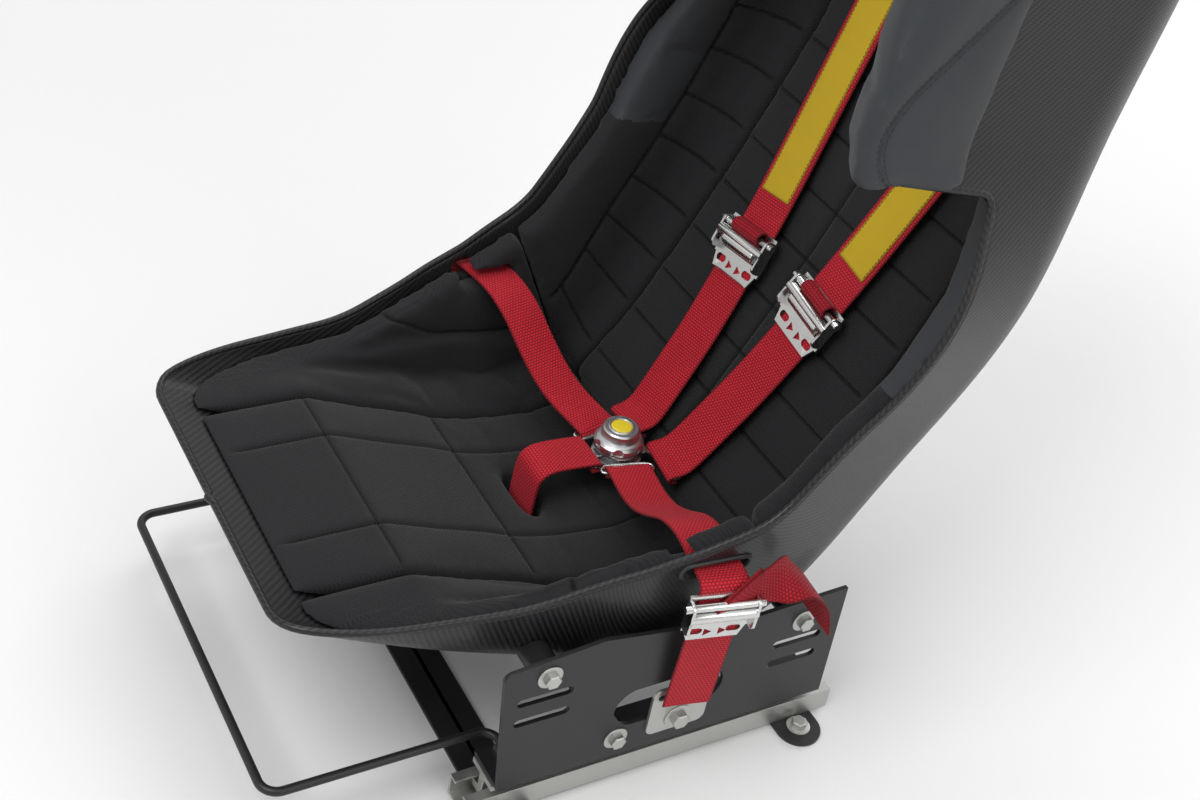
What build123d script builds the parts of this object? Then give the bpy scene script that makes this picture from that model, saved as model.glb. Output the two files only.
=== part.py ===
"""A racing bucket seat with a five-point harness, on its rails and side brackets.

Millimetres. The seat faces -Y, +X is the occupant's left and +Z is up.
The shell and its cushions come from one function, seat_layer, which lofts a U-shaped section
along the seat's spine. Each layer lies between two depths below the shell's outside face.
"""
import os
from math import cos, hypot, radians, sin

from build123d import *

os.makedirs("parts", exist_ok=True)

# Driving dimensions of the shell and its cushions
WALL = 5.0
PAD_GAP = 0.6
SEAM_GAP = 3.0
FLOOR_PAD = 50.0
SIDE_PAD = 32.0
WING_PAD = 46.0
WING_COVER = 14.0
PANEL_HALF = 150.0
SQUAB_HALF = 118.0
RIM_INSET = 9.0
HALF_WIDTH = 330.0
MIDDLE_Y = 71.23

# Webbing, and the harness's knob
WEB = 2.2
SHOULDER_WEB = 50.0
LAP_WEB = 44.0
BUCKLE = (0, 80, 168)
BUCKLE_RADIUS = 24.0
SHAFT = 6.0
CAP = 17.5

# Rails, cross members and side brackets
RAIL_X = 206.0
RAIL_LENGTH = 380.0
RAIL_WIDTH = 36.0
RAIL_HEIGHT = 24.0
RAIL_WALL = 2.5
RAIL_MOUTH = 15.0
RUNNER_LENGTH = 340.0
RUNNER_STEM = 8.0
RUNNER_TOP = 42.0
CROSS_THICK = 4.0
CROSS_WIDTH = 44.0
FOOT_THICK = 4.0
PLATE_X = 226.0
PLATE_THICK = 4.0
PLATE = ((-138, RUNNER_TOP), (-150, 186), (-60, 196), (60, 176), (96, 172), (190, 176), (197, RUNNER_TOP))
HEIGHT_SLOT = (52, 9)
HEIGHT_STEP = 24.0
LIGHTENING = (20, 100)
LIGHTENING_SIZE = (110, 44)
FLOOR_HOLE_X = 236.0
RAIL_Y = 30.0
FLOOR_HOLE_Y = 150.0
FLOOR_HOLE_RADIUS = 4.3
SEAT_BOLTS = ((-108, 172), (148, 150))
PIVOT = (-118, 56)
BUSHING_X = 196.0
BUSHING = 18.0
BUSHING_RADIUS = 9.0
SPACER_X = 196.0
SPACER_RADIUS = 13.0
LEVER_X = 176.0
LEVER_FRONT = -322.0
WIRE = 4.0
RUNNING = 0.05
CROTCH_BAR = (-27.5, 66)
CROTCH_BAR_RADIUS = 10.0

# Belt slots: the middle of each where it crosses the shell, and its size
SHOULDER_SLOT = (396, 667)
SHOULDER_SLOT_LEAN = 78
SHOULDER_SLOT_SIZE = (70, 20)
SHOULDER_SLOT_X = 99.0
SHOULDER_X = 88.0
LAP_SLOT = (32, 250)
LAP_SLOT_SIZE = (62, 16)
LAP_TURN = 11.5
CROTCH_SLOT_Y = -16.0
CROTCH_SLOT_SIZE = (62, 22)

# Routes of the webbing's middle, chosen along the cushions: y and z, or x and z for the lap
SHOULDER_ROUTE = (
    (441, 452), (441, 640), (425, 661), (355, 676), (341, 640), (332, 600), (305, 537), (273, 461),
    (243, 391), (226.3, 358), (216.2, 338), (200, 306), (176, 262), (150, 222), (122, 183),
)
SHOULDER_END_X = 33.0
ADJUSTER_ABOVE = 9
ADJUSTER_BELOW = 10
LAP_ROUTE = ((33, 184), (84, 189), (120, 206), (172, 250), (251, 250), (241, 98))
LAP_FITTING = 223.0
CROTCH_ROUTE = ((53, 184), (12, 188), (-6, 187), (-16, 174), (-16, 54.6), (-39, 54.6), (-39, 90))

# Metalwork of the harness
TONGUE_THICK = 2.5
TONGUE_HEIGHT = 11.0
NECK_RADIUS = 18.0
ADJUSTER = (40.0, 2.5)
SLIDE_BAR_RADIUS = 5.5
ANCHOR = (58.0, 52.0, 4.0)
LAP_ANCHOR = (60.0, 54.0, 3.0)
LAP_ANCHOR_Z = 86.0

# The shell's outside at stations along its spine: where the spine is, how far the section
# leans, half the width at the floor and at the rim, the side's height and the corner's radius
STATIONS = (
    # y, z, lean, floor_half, rim_half, side, corner
    (-316, 224, -26, 180, 212, 150, 56),
    (-200, 168, -20, 186, 226, 190, 60),
    (-100, 129, -14, 192, 234, 215, 65),
    (-15, 102, 0, 197, 240, 225, 70),
    (135, 112, 22, 201, 246, 220, 75),
    (253, 275, 55, 207, 264, 240, 85),
    (330, 437, 72, 216, 282, 260, 95),
    (395, 601, 86, 204, 216, 340, 100),
    (443, 766, 88, 182, 204, 340, 95),
    (472, 950, 89, 160, 188, 300, 85),
)

# The rim as seen from the side: y, z and each corner's radius
RIM = (
    (-345, 40, 0),
    (-345, 226, 50),
    (-120, 226, 150),
    (14, 270, 90),
    (80, 300, 90),
    (150, 405, 120),
    (196, 520, 60),
    (212, 572, 14),
    (78, 606, 30),
    (92, 690, 60),
    (190, 862, 90),
    (330, 915, 60),
    (540, 930, 0),
    (540, 40, 0),
)

# The wing cushions stand proud of the rim and wrap round it to the shell's outside
WING_EDGE = (
    (540, 584, 0),
    (215, 584, 16),
    (54, 594, 42),
    (58, 690, 70),
    (150, 854, 80),
    (240, 898, 50),
    (540, 912, 0),
)
WING_BACK = (
    (168, 500, 0),
    (168, 610, 60),
    (206, 760, 120),
    (262, 960, 0),
    (560, 960, 0),
    (560, 500, 0),
)

# The top edge's arch as seen from the front: half its width, its height there and in the middle
CROWN = (330, 700, 928)
CROWN_BACK = 560.0
CROWN_FRONT = -360.0

# Lines that part the cushions, from the open side to the shell's floor
SQUAB_LINE = ((46, 340), (152, 60))
HEAD_LINE = ((30, 580), (215, 574), (470, 548))


def between(table, steps):
    """The table's rows with smooth rows put in between each pair."""
    rows = []
    for i in range(len(table) - 1):
        before = table[max(i - 1, 0)]
        after = table[min(i + 2, len(table) - 1)]
        for step in range(steps):
            t = step / steps
            row = []
            for a, b, c, d in zip(before, table[i], table[i + 1], after):
                bend = (2 * a - 5 * b + 4 * c - d) * t * t + (3 * b - a - 3 * c + d) * t * t * t
                row.append(b + ((c - a) * t + bend) / 2)
            rows.append(tuple(row))
    rows.append(table[-1])
    return rows


def spine_frame(station):
    """The plane of a station's section: local x is across, local y points at the occupant."""
    y, z, lean = station[:3]
    a = radians(lean)
    return Plane(origin=(0, y, z), x_dir=(1, 0, 0), z_dir=(0, -cos(a), -sin(a)))


def side_corners(station, floor_depth, side_depth, over):
    """Half the width and the height of a layer's lower and upper corners at a station."""
    floor_half, rim_half, side = station[3:6]
    flare = (rim_half - floor_half) / side
    shift = side_depth * hypot(1, flare)
    top = side + over
    return (floor_half + flare * floor_depth - shift, floor_depth), (floor_half + flare * top - shift, top)


def section(station, outside, inside, over):
    """A U-shaped band between two depths, each given at the floor and at the sides."""
    corner = station[6]
    with BuildSketch(spine_frame(station)) as outline:
        with BuildLine():
            ends = []
            for depth in (outside, inside):
                (x0, y0), (x1, y1) = side_corners(station, *depth, over)
                FilletPolyline((-x1, y1), (-x0, y0), (x0, y0), (x1, y1), radius=max(corner - max(depth), 10))
                ends.append((x1, y1))
            Line(ends[0], ends[1])
            Line((-ends[0][0], ends[0][1]), (-ends[1][0], ends[1][1]))
        make_face()
    return outline.sketch.faces()[0]


def seat_layer(outside, inside, over=0, steps=2):
    """The layer of the seat between two depths below the shell's outside face."""
    with BuildPart() as layer:
        loft([section(station, outside, inside, over) for station in between(STATIONS, steps)], ruled=True)
    return layer.part


def side_region(points, inner=-HALF_WIDTH, outer=HALF_WIDTH, inset=0):
    """A side view outline with rounded corners, made solid from one X to another."""
    with BuildPart() as region:
        with BuildSketch(Plane.YZ.offset(inner)):
            with BuildLine():
                Polyline([(point[0], point[1]) for point in points], close=True)
            make_face()
            for point in points:
                if len(point) > 2 and point[2]:
                    corner = vertices().sort_by_distance((point[0], point[1]))[0]
                    fillet(corner, point[2])
            if inset:
                offset(amount=-inset)
        extrude(amount=outer - inner)
    return region.part


def save(piece, name):
    """Label a finished piece, put the assembly's middle at Y = 0 and write the piece's file."""
    piece = Pos(0, -MIDDLE_Y, 0) * piece
    piece.label = name
    export_step(piece, f"parts/{name}.step")
    box = piece.bounding_box()
    print(name, len(piece.solids()), round(piece.volume / 1000, 1), "cm3", box.min, box.max)


def slot_cutter(size, length, radius):
    """A slot's opening along the local Z of where it is used."""
    with BuildPart() as cutter:
        with BuildSketch(Plane.XY.offset(-length / 2)):
            RectangleRounded(size[0], size[1], radius)
        extrude(amount=length)
    return cutter.part


shoulder_lean = radians(SHOULDER_SLOT_LEAN)
shoulder_frame = Plane(
    origin=(0, *SHOULDER_SLOT), x_dir=(1, 0, 0), z_dir=(0, sin(shoulder_lean), -cos(shoulder_lean))
)
shoulder_cutter = slot_cutter(SHOULDER_SLOT_SIZE, 240, 8)
lap_cutter = slot_cutter(LAP_SLOT_SIZE, 130, 7)
slots = Pos(0, CROTCH_SLOT_Y, 120) * slot_cutter(CROTCH_SLOT_SIZE, 160, 10)
for side in (-1, 1):
    lap_side = Plane(origin=(side * 205, *LAP_SLOT), x_dir=(0, 1, 0), z_dir=(1, 0, 0))
    slots += shoulder_frame * Pos(side * SHOULDER_SLOT_X, 0, 0) * shoulder_cutter
    slots += lap_side * lap_cutter


def crowned(inset=0):
    """The space under the arched top edge, as seen from the front."""
    half, low, high = CROWN
    with BuildPart() as space:
        with BuildSketch(Plane.XZ.offset(-CROWN_BACK)):
            with BuildLine():
                ThreePointArc((-half, low - inset), (0, high - inset), (half, low - inset))
                Polyline((half, low - inset), (half, 0), (-half, 0), (-half, low - inset))
            make_face()
        extrude(amount=CROWN_BACK - CROWN_FRONT)
    return space.part


with BuildPart() as shell:
    add(seat_layer((0, 0), (WALL, WALL)))
    add(side_region(RIM), mode=Mode.INTERSECT)
    add(crowned(), mode=Mode.INTERSECT)
    add(slots, mode=Mode.SUBTRACT)
save(shell.part, "shell")

gap = WALL + PAD_GAP
cushions = seat_layer((gap, gap), (FLOOR_PAD, SIDE_PAD))
cushions &= side_region(RIM, inset=RIM_INSET)
cushions &= crowned(RIM_INSET)
wings = seat_layer((-WING_COVER, -WING_COVER), (FLOOR_PAD, WING_PAD)) & side_region(WING_EDGE) & crowned(-2)
wings -= seat_layer((-PAD_GAP, -PAD_GAP), (gap, gap)) & side_region(RIM, inset=-PAD_GAP)
wings -= seat_layer((-WING_COVER - 1, -WING_COVER - 1), (WALL / 2, WALL / 2)) & side_region(WING_BACK)

below = ((-345, 340), SQUAB_LINE[0], SQUAB_LINE[1], (-345, 40))
middle = (
    (SQUAB_LINE[0][0] + SEAM_GAP, SQUAB_LINE[0][1]),
    (HEAD_LINE[0][0], HEAD_LINE[0][1] - SEAM_GAP),
    (HEAD_LINE[1][0], HEAD_LINE[1][1] - SEAM_GAP),
    (HEAD_LINE[2][0], HEAD_LINE[2][1] - SEAM_GAP),
    (470, 60),
    (SQUAB_LINE[1][0] + SEAM_GAP, SQUAB_LINE[1][1]),
)
above = ((30, 950), HEAD_LINE[0], HEAD_LINE[1], HEAD_LINE[2], (540, 548), (540, 950))
for name, source, outline, inner, outer in (
    ("squab_pad", cushions, below, -SQUAB_HALF, SQUAB_HALF),
    ("thigh_pad_left", cushions, below, SQUAB_HALF + SEAM_GAP, HALF_WIDTH),
    ("thigh_pad_right", cushions, below, -HALF_WIDTH, -SQUAB_HALF - SEAM_GAP),
    ("back_pad", cushions, middle, -PANEL_HALF, PANEL_HALF),
    ("torso_pad_left", cushions, middle, PANEL_HALF + SEAM_GAP, HALF_WIDTH),
    ("torso_pad_right", cushions, middle, -HALF_WIDTH, -PANEL_HALF - SEAM_GAP),
    ("head_pad", cushions, above, -PANEL_HALF, PANEL_HALF),
    ("wing_pad_left", wings, above, PANEL_HALF + SEAM_GAP, HALF_WIDTH),
    ("wing_pad_right", wings, above, -HALF_WIDTH, -PANEL_HALF - SEAM_GAP),
):
    with BuildPart() as cushion:
        add(source)
        add(side_region(outline, inner, outer), mode=Mode.INTERSECT)
        add(slots, mode=Mode.SUBTRACT)
    save(cushion.part, name)

# Base: two cross members bolted to the floor carry the lower rails
for name, y in (("cross_member_front", RAIL_Y - FLOOR_HOLE_Y), ("cross_member_rear", RAIL_Y + FLOOR_HOLE_Y)):
    with BuildPart() as cross_member:
        with BuildSketch(Plane.XY):
            with Locations((0, y)):
                SlotOverall(2 * FLOOR_HOLE_X + CROSS_WIDTH, CROSS_WIDTH)
            with Locations((-FLOOR_HOLE_X, y), (FLOOR_HOLE_X, y)):
                Circle(FLOOR_HOLE_RADIUS, mode=Mode.SUBTRACT)
        extrude(amount=CROSS_THICK)
    save(cross_member.part, name)

for name, side in (("left", 1), ("right", -1)):
    with BuildPart() as rail_lower:
        with BuildSketch(Plane.XZ.offset(-RAIL_LENGTH / 2 - RAIL_Y)):
            with Locations((side * RAIL_X, CROSS_THICK + RAIL_HEIGHT / 2)):
                Rectangle(RAIL_WIDTH, RAIL_HEIGHT)
                Rectangle(RAIL_WIDTH - 2 * RAIL_WALL, RAIL_HEIGHT - 2 * RAIL_WALL, mode=Mode.SUBTRACT)
            with Locations((side * RAIL_X, CROSS_THICK + RAIL_HEIGHT)):
                Rectangle(RAIL_MOUTH, 12, mode=Mode.SUBTRACT)
        extrude(amount=RAIL_LENGTH)
    save(rail_lower.part, f"rail_lower_{name}")

    with BuildPart() as rail_upper:
        with BuildSketch(Plane.XZ.offset(-RUNNER_LENGTH / 2 - RAIL_Y)):
            with Locations((side * RAIL_X, CROSS_THICK + RAIL_HEIGHT / 2)):
                Rectangle(RAIL_WIDTH - 8, 8)
            with Locations((side * RAIL_X, (RUNNER_TOP + CROSS_THICK + RAIL_HEIGHT / 2) / 2)):
                Rectangle(RUNNER_STEM, RUNNER_TOP - CROSS_THICK - RAIL_HEIGHT / 2)
            with Locations((side * RAIL_X, RUNNER_TOP - 3)):
                Rectangle(RAIL_WIDTH, 6)
        extrude(amount=RUNNER_LENGTH)
    save(rail_upper.part, f"rail_upper_{name}")

# Side brackets: a foot on the runner, an upright plate with slots, and spacers to the shell
outside_form = seat_layer((-0.4, -0.4), (40, 40))
for name, side in (("left", 1), ("right", -1)):
    inner_face = PLATE_X if side > 0 else -PLATE_X - PLATE_THICK
    with BuildPart() as side_bracket:
        with BuildSketch(Plane.YZ.offset(inner_face)):
            with BuildLine():
                Polyline(PLATE, close=True)
            make_face()
            fillet(vertices().group_by(Axis.Y)[-1] + vertices().group_by(Axis.Y)[-2], 8)
            for y, z in SEAT_BOLTS:
                with GridLocations(0, HEIGHT_STEP, 1, 2):
                    with Locations((y, z - 1.5 * HEIGHT_STEP)):
                        SlotOverall(*HEIGHT_SLOT, mode=Mode.SUBTRACT)
            with Locations(LIGHTENING):
                SlotOverall(*LIGHTENING_SIZE, mode=Mode.SUBTRACT)
        extrude(amount=PLATE_THICK)
        with BuildSketch(Plane.XY.offset(RUNNER_TOP)):
            with Locations((side * (RAIL_X + 1), RAIL_Y)):
                Rectangle(RAIL_WIDTH + 6, RUNNER_LENGTH - 4)
        extrude(amount=FOOT_THICK)
        with BuildSketch(Plane.YZ.offset(min(side * BUSHING_X, side * (BUSHING_X + BUSHING)))):
            with Locations(PIVOT):
                Circle(BUSHING_RADIUS)
            with Locations((PIVOT[0], PIVOT[1] - 6)):
                Rectangle(2 * BUSHING_RADIUS, 10)
        extrude(amount=BUSHING)
        with BuildSketch(Plane.YZ.offset(min(side * (BUSHING_X - 5), side * (BUSHING_X + BUSHING + 5)))):
            with Locations(PIVOT):
                Circle(WIRE + RUNNING)
        extrude(amount=BUSHING + 10, mode=Mode.SUBTRACT)
        for y, z in SEAT_BOLTS:
            with BuildSketch(Plane.YZ.offset(min(side * SPACER_X, side * PLATE_X))):
                with Locations((y, z)):
                    Circle(SPACER_RADIUS)
            extrude(amount=PLATE_X - SPACER_X)
        add(outside_form, mode=Mode.SUBTRACT)
    save(side_bracket.part, f"side_bracket_{name}")

with BuildPart() as crotch_bar:
    with BuildSketch(Plane.YZ.offset(-PLATE_X)):
        with Locations(CROTCH_BAR):
            Circle(CROTCH_BAR_RADIUS)
    extrude(amount=2 * PLATE_X)
save(crotch_bar.part, "crotch_bar")

lever_end = BUSHING_X + BUSHING + 1
with BuildPart() as slide_lever:
    with BuildLine() as lever_line:
        FilletPolyline(
            (lever_end, *PIVOT), (LEVER_X, *PIVOT), (LEVER_X, LEVER_FRONT, PIVOT[1]),
            (-LEVER_X, LEVER_FRONT, PIVOT[1]), (-LEVER_X, *PIVOT), (-lever_end, *PIVOT),
            radius=16,
        )
    with BuildSketch(Plane(origin=(lever_end, *PIVOT), z_dir=(-1, 0, 0))):
        Circle(WIRE)
    sweep()
save(slide_lever.part, "slide_lever")


def web_face(points, radius):
    """A web's thickness drawn along its route."""
    with BuildLine() as middle_line:
        FilletPolyline(*points, radius=radius)
    trace(middle_line.line.edges(), line_width=WEB)


def strap_frame(start, finish):
    """The plane that holds a shoulder strap's route: local y points at the occupant."""
    chord = Vector(finish) - Vector(start)
    lift = Vector(0, chord.Z, -chord.Y)
    return Plane(origin=start, x_dir=chord, z_dir=chord.cross(lift))


def on_frame(frame, start, finish, y, z):
    """A point of the side view route, laid in the strap's plane."""
    chord = Vector(finish) - Vector(start)
    share = ((y - start[1]) * chord.Y + (z - start[2]) * chord.Z) / (chord.Y ** 2 + chord.Z ** 2)
    lift = frame.y_dir
    return share * chord.length, (y - start[1]) * lift.Y + (z - start[2]) * lift.Z


def along_strap(frame, low, high, share):
    """The plane of a fitting on a strap: local y runs up the strap, local z points out of it."""
    at = [a + (b - a) * share for a, b in zip(low, high)]
    origin = frame.from_local_coords(Vector(at[0], at[1], 0))
    top, bottom = [frame.from_local_coords(Vector(end[0], end[1], 0)) for end in (high, low)]
    up = top - bottom
    return Plane(origin=origin, x_dir=-frame.z_dir, z_dir=(-frame.z_dir).cross(up))


# Buckle: a body with a neck for the tongues, and the knob that turns on it
with BuildPart() as buckle_body:
    with BuildSketch(Plane.XZ):
        with BuildLine():
            Polyline(
                (0, 0), (BUCKLE_RADIUS - 2, 0), (BUCKLE_RADIUS, 2), (BUCKLE_RADIUS, 8),
                (NECK_RADIUS, 9), (NECK_RADIUS, 15), (BUCKLE_RADIUS - 1, 16), (BUCKLE_RADIUS - 1, 19),
                (SHAFT, 19), (SHAFT, 26), (0, 26), close=True,
            )
        make_face()
    revolve(axis=Axis.Z)
save(Pos(*BUCKLE) * buckle_body.part, "buckle_body")

bore = SHAFT + RUNNING
with BuildPart() as buckle_knob:
    with BuildSketch(Plane.XZ):
        with BuildLine():
            Polyline(
                (bore, 19.5), (BUCKLE_RADIUS - 1.5, 19.5), (BUCKLE_RADIUS - 0.5, 20.5),
                (BUCKLE_RADIUS - 0.5, 25), (BUCKLE_RADIUS - 3, 27.5), (CAP + 0.5, 28.5), (CAP - 0.5, 30),
                (CAP, 31), (CAP, 37), (CAP - 1.5, 38.5), (0, 38.5), (0, 26.5), (bore, 26.5), close=True,
            )
        make_face()
    revolve(axis=Axis.Z)
    with BuildSketch(Plane.XY.offset(20)):
        with PolarLocations(BUCKLE_RADIUS + 5.5, 6, start_angle=30):
            Circle(8)
    extrude(amount=20, mode=Mode.SUBTRACT)
save(Pos(*BUCKLE) * buckle_knob.part, "buckle_knob")


def tongue(near_x, near_half, far_x, far_half, reach):
    """A flat tongue that leaves the buckle along local X, with its slot for the webbing."""
    with BuildPart() as plate:
        with BuildSketch(Plane.XY.offset(TONGUE_HEIGHT)):
            with BuildLine():
                Polyline(
                    (NECK_RADIUS + 0.8, near_x - near_half), (NECK_RADIUS + 8, near_x - near_half),
                    (reach - 11, far_x - far_half), (reach, far_x - far_half), (reach, far_x + far_half),
                    (reach - 11, far_x + far_half), (NECK_RADIUS + 8, near_x + near_half),
                    (NECK_RADIUS + 0.8, near_x + near_half), close=True,
                )
            make_face()
            fillet(vertices().sort_by(Axis.X)[-2:], 3)
            with Locations((reach - 6, far_x)):
                RectangleRounded(5, 2 * far_half - 7, 1.8, mode=Mode.SUBTRACT)
        extrude(amount=TONGUE_THICK)
    return plate.part


for name, turn, near_x, far_x, far_half, reach in (
    ("shoulder_tongue_left", 90, -10, -33, 24, 39),
    ("shoulder_tongue_right", 90, 10, 33, 24, 39),
    ("lap_tongue_left", -LAP_TURN, 0, 0, 22, 38),
    ("lap_tongue_right", 180 + LAP_TURN, 0, 0, 22, 38),
    ("crotch_tongue", -90, 0, 0, 20, 38),
):
    turned = Pos(*BUCKLE) * Rot(0, 0, turn) * tongue(near_x, 5, far_x, far_half, reach)
    save(turned, name)


def webbing_adjuster(width):
    """A windowed plate with cheeks, a round slide bar, and a lower lip cut out to lighten it."""
    length, thick = ADJUSTER
    lip = width / 2 - 13
    with BuildPart() as fitting:
        with BuildSketch(Plane.XY.offset(WEB / 2 + 0.2)):
            Rectangle(width, length)
            with Locations((0, -length / 2 - 6)):
                Trapezoid(width - 4, 14, 70, rotation=180)
            with Locations((0, 11), (0, -7)):
                Rectangle(width - 12, 10, mode=Mode.SUBTRACT)
            with Locations((-lip, -length / 2 - 3), (lip, -length / 2 - 3)):
                SlotOverall(13, 7, mode=Mode.SUBTRACT)
            with Locations((-6.5, -length / 2 - 5), (6.5, -length / 2 - 5)):
                RegularPolygon(5, 3, mode=Mode.SUBTRACT)
        extrude(amount=thick)
        for x in (-width / 2, width / 2 - thick):
            with BuildSketch(Plane.YZ.offset(x)):
                with Locations((0, WEB / 2 + 7)):
                    RectangleRounded(length - 6, 13, 5)
            extrude(amount=thick)
        with BuildSketch(Plane.YZ.offset(-width / 2)):
            with Locations((2, 10)):
                Circle(SLIDE_BAR_RADIUS)
        extrude(amount=width)
        with BuildSketch(Plane.YZ.offset(-width / 2 - 5)):
            with Locations((12, 9)):
                Circle(3.5)
        extrude(amount=width + 10)
    return fitting.part


shoulder_adjuster = webbing_adjuster(SHOULDER_WEB + 16)
lap_adjuster = webbing_adjuster(LAP_WEB + 16)

with BuildPart() as anchor_plate:
    with BuildSketch(Plane.XY.offset(-ANCHOR[2] / 2)):
        RectangleRounded(ANCHOR[0], ANCHOR[1], 10)
        with Locations((0, ANCHOR[1] / 2 - 10)):
            SlotOverall(ANCHOR[0] - 10, 8, mode=Mode.SUBTRACT)
        with Locations((0, -9)):
            Circle(5.5, mode=Mode.SUBTRACT)
    extrude(amount=ANCHOR[2])

for name, side in (("left", 1), ("right", -1)):
    start = (side * SHOULDER_X, *SHOULDER_ROUTE[5])
    finish = (side * SHOULDER_END_X, *SHOULDER_ROUTE[-1])
    frame = strap_frame(start, finish)
    laid = [on_frame(frame, start, finish, y, z) for y, z in SHOULDER_ROUTE]
    with BuildPart() as shoulder_strap:
        with BuildSketch(frame):
            web_face(laid[: ADJUSTER_ABOVE + 1], 9)
        extrude(amount=SHOULDER_WEB / 2, both=True)
    save(shoulder_strap.part, f"shoulder_strap_{name}")
    with BuildPart() as chest_strap:
        with BuildSketch(frame):
            web_face(laid[ADJUSTER_BELOW:], 9)
        extrude(amount=SHOULDER_WEB / 2, both=True)
    save(chest_strap.part, f"chest_strap_{name}")

    seat = along_strap(frame, laid[ADJUSTER_BELOW], laid[ADJUSTER_ABOVE], 0.5)
    save(seat * shoulder_adjuster, f"shoulder_adjuster_{name}")
    hang = along_strap(frame, laid[0], laid[1], 0)
    save(hang * Pos(0, -ANCHOR[1] / 2 - 1, 0) * anchor_plate.part, f"shoulder_anchor_{name}")

    lap_turn = radians(LAP_TURN)
    across = Vector(side * cos(lap_turn), -sin(lap_turn), 0)
    lap_frame = Plane(origin=(0, BUCKLE[1], 0), x_dir=across, z_dir=across.cross(Vector(0, 0, 1)))
    lap_laid = [(x / cos(lap_turn) if x > 150 else x, z) for x, z in LAP_ROUTE]
    with BuildPart() as lap_strap:
        with BuildSketch(lap_frame):
            web_face(lap_laid, 5)
        extrude(amount=LAP_WEB / 2, both=True)
    save(lap_strap.part, f"lap_strap_{name}")

    top, foot = [lap_frame.from_local_coords(Vector(x, z, 0)) for x, z in lap_laid[-2:]]
    share = (LAP_FITTING - foot.Z) / (top.Z - foot.Z)
    on_web = foot + (top - foot) * share
    along = -lap_frame.z_dir
    lap_seat = Plane(origin=on_web, x_dir=along, z_dir=along.cross(top - foot))
    save(lap_seat * lap_adjuster, f"lap_adjuster_{name}")

    outer_face = PLATE_X + PLATE_THICK if side > 0 else -PLATE_X - PLATE_THICK - LAP_ANCHOR[2]
    with BuildPart() as lap_anchor:
        with BuildSketch(Plane.YZ.offset(outer_face)):
            with Locations((LAP_SLOT[0], LAP_ANCHOR_Z)):
                RectangleRounded(LAP_ANCHOR[0], LAP_ANCHOR[1], 8)
            with Locations((LAP_SLOT[0], LAP_ANCHOR_Z + 18)):
                SlotOverall(LAP_ANCHOR[0] - 10, 7, mode=Mode.SUBTRACT)
        extrude(amount=LAP_ANCHOR[2])
    save(lap_anchor.part, f"lap_anchor_{name}")

with BuildPart() as crotch_strap:
    with BuildSketch(Plane.YZ):
        web_face(CROTCH_ROUTE, 10)
    extrude(amount=LAP_WEB / 2, both=True)
save(crotch_strap.part, "crotch_strap")
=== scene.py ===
# %% [markdown]
# # A racing bucket seat with a five-point harness
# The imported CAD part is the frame: every piece made here sits on it, in metres, and rides with one of its
# bodies. The lesson goes from the frame and the camera to the finishes, then the shell, cushions, webbing
# and metalwork.

from math import cos, pi, radians, sin, tan

import bmesh
import bpy
import numpy as np
from mathutils import Matrix, Vector
from mathutils.bvhtree import BVHTree
from mathutils.kdtree import KDTree


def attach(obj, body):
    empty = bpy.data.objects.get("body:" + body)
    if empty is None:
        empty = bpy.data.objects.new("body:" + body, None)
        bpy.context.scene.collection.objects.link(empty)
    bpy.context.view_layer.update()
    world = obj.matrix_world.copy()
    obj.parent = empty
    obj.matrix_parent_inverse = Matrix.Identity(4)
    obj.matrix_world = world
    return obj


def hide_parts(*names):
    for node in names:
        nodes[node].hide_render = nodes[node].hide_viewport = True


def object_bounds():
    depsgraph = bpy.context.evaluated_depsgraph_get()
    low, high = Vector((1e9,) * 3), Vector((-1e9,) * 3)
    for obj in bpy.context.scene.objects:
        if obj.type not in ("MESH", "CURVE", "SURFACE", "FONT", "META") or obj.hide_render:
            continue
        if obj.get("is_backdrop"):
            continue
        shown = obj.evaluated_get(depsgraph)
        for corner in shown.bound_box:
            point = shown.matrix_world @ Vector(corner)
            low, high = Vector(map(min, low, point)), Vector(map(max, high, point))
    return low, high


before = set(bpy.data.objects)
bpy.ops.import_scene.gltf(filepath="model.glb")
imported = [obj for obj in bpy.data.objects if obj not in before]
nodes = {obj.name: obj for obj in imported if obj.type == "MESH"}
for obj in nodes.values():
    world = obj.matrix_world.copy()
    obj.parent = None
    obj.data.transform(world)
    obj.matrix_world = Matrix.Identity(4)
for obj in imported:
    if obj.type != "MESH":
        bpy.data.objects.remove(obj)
cad_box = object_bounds()
scene = bpy.context.scene

# %% [markdown]
# ## Camera
# The photograph looks down from the occupant's left front. Its camera was found by matching the quilting,
# the buckle and the wing, so the numbers below are a place, three axes and a lens. A camera looks along its
# own -Z, with +Y up in the picture, so the picture's down and forward axes change sign.

# %% Camera
MM = 0.001
MIDDLE_Y = 71.23


def place(x, y, z):
    """A point of the drawing, in millimetres from the middle of the rails, as metres in the frame."""
    return Vector((x, y - MIDDLE_Y, z)) * MM


CAMERA_SPOT, LENS = (990.54, -657.55, 1154.59), 50.207
right = Vector((0.471333, 0.867172, 0.160805))
down = Vector((0.594071, -0.177400, -0.784607))
forward = Vector((-0.651863, 0.465341, -0.598776))
camera = bpy.data.objects.new("camera", bpy.data.cameras.new("camera"))
scene.collection.objects.link(camera)
turn = Matrix((right, -down, -forward)).transposed()
camera.matrix_world = Matrix.Translation(place(*CAMERA_SPOT)) @ turn.to_4x4()
camera.data.sensor_width = 36
camera.data.lens = LENS
camera.data.clip_start = 0.05
camera.data.clip_end = 40
scene.camera = camera
print("camera at", [round(v, 3) for v in camera.location])

# %% [markdown]
# ## Light
# Soft studio light comes from large area lamps and a world that is white to the camera. What the world adds
# to matt surfaces stays lower, so that black cloth stays black.

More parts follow.
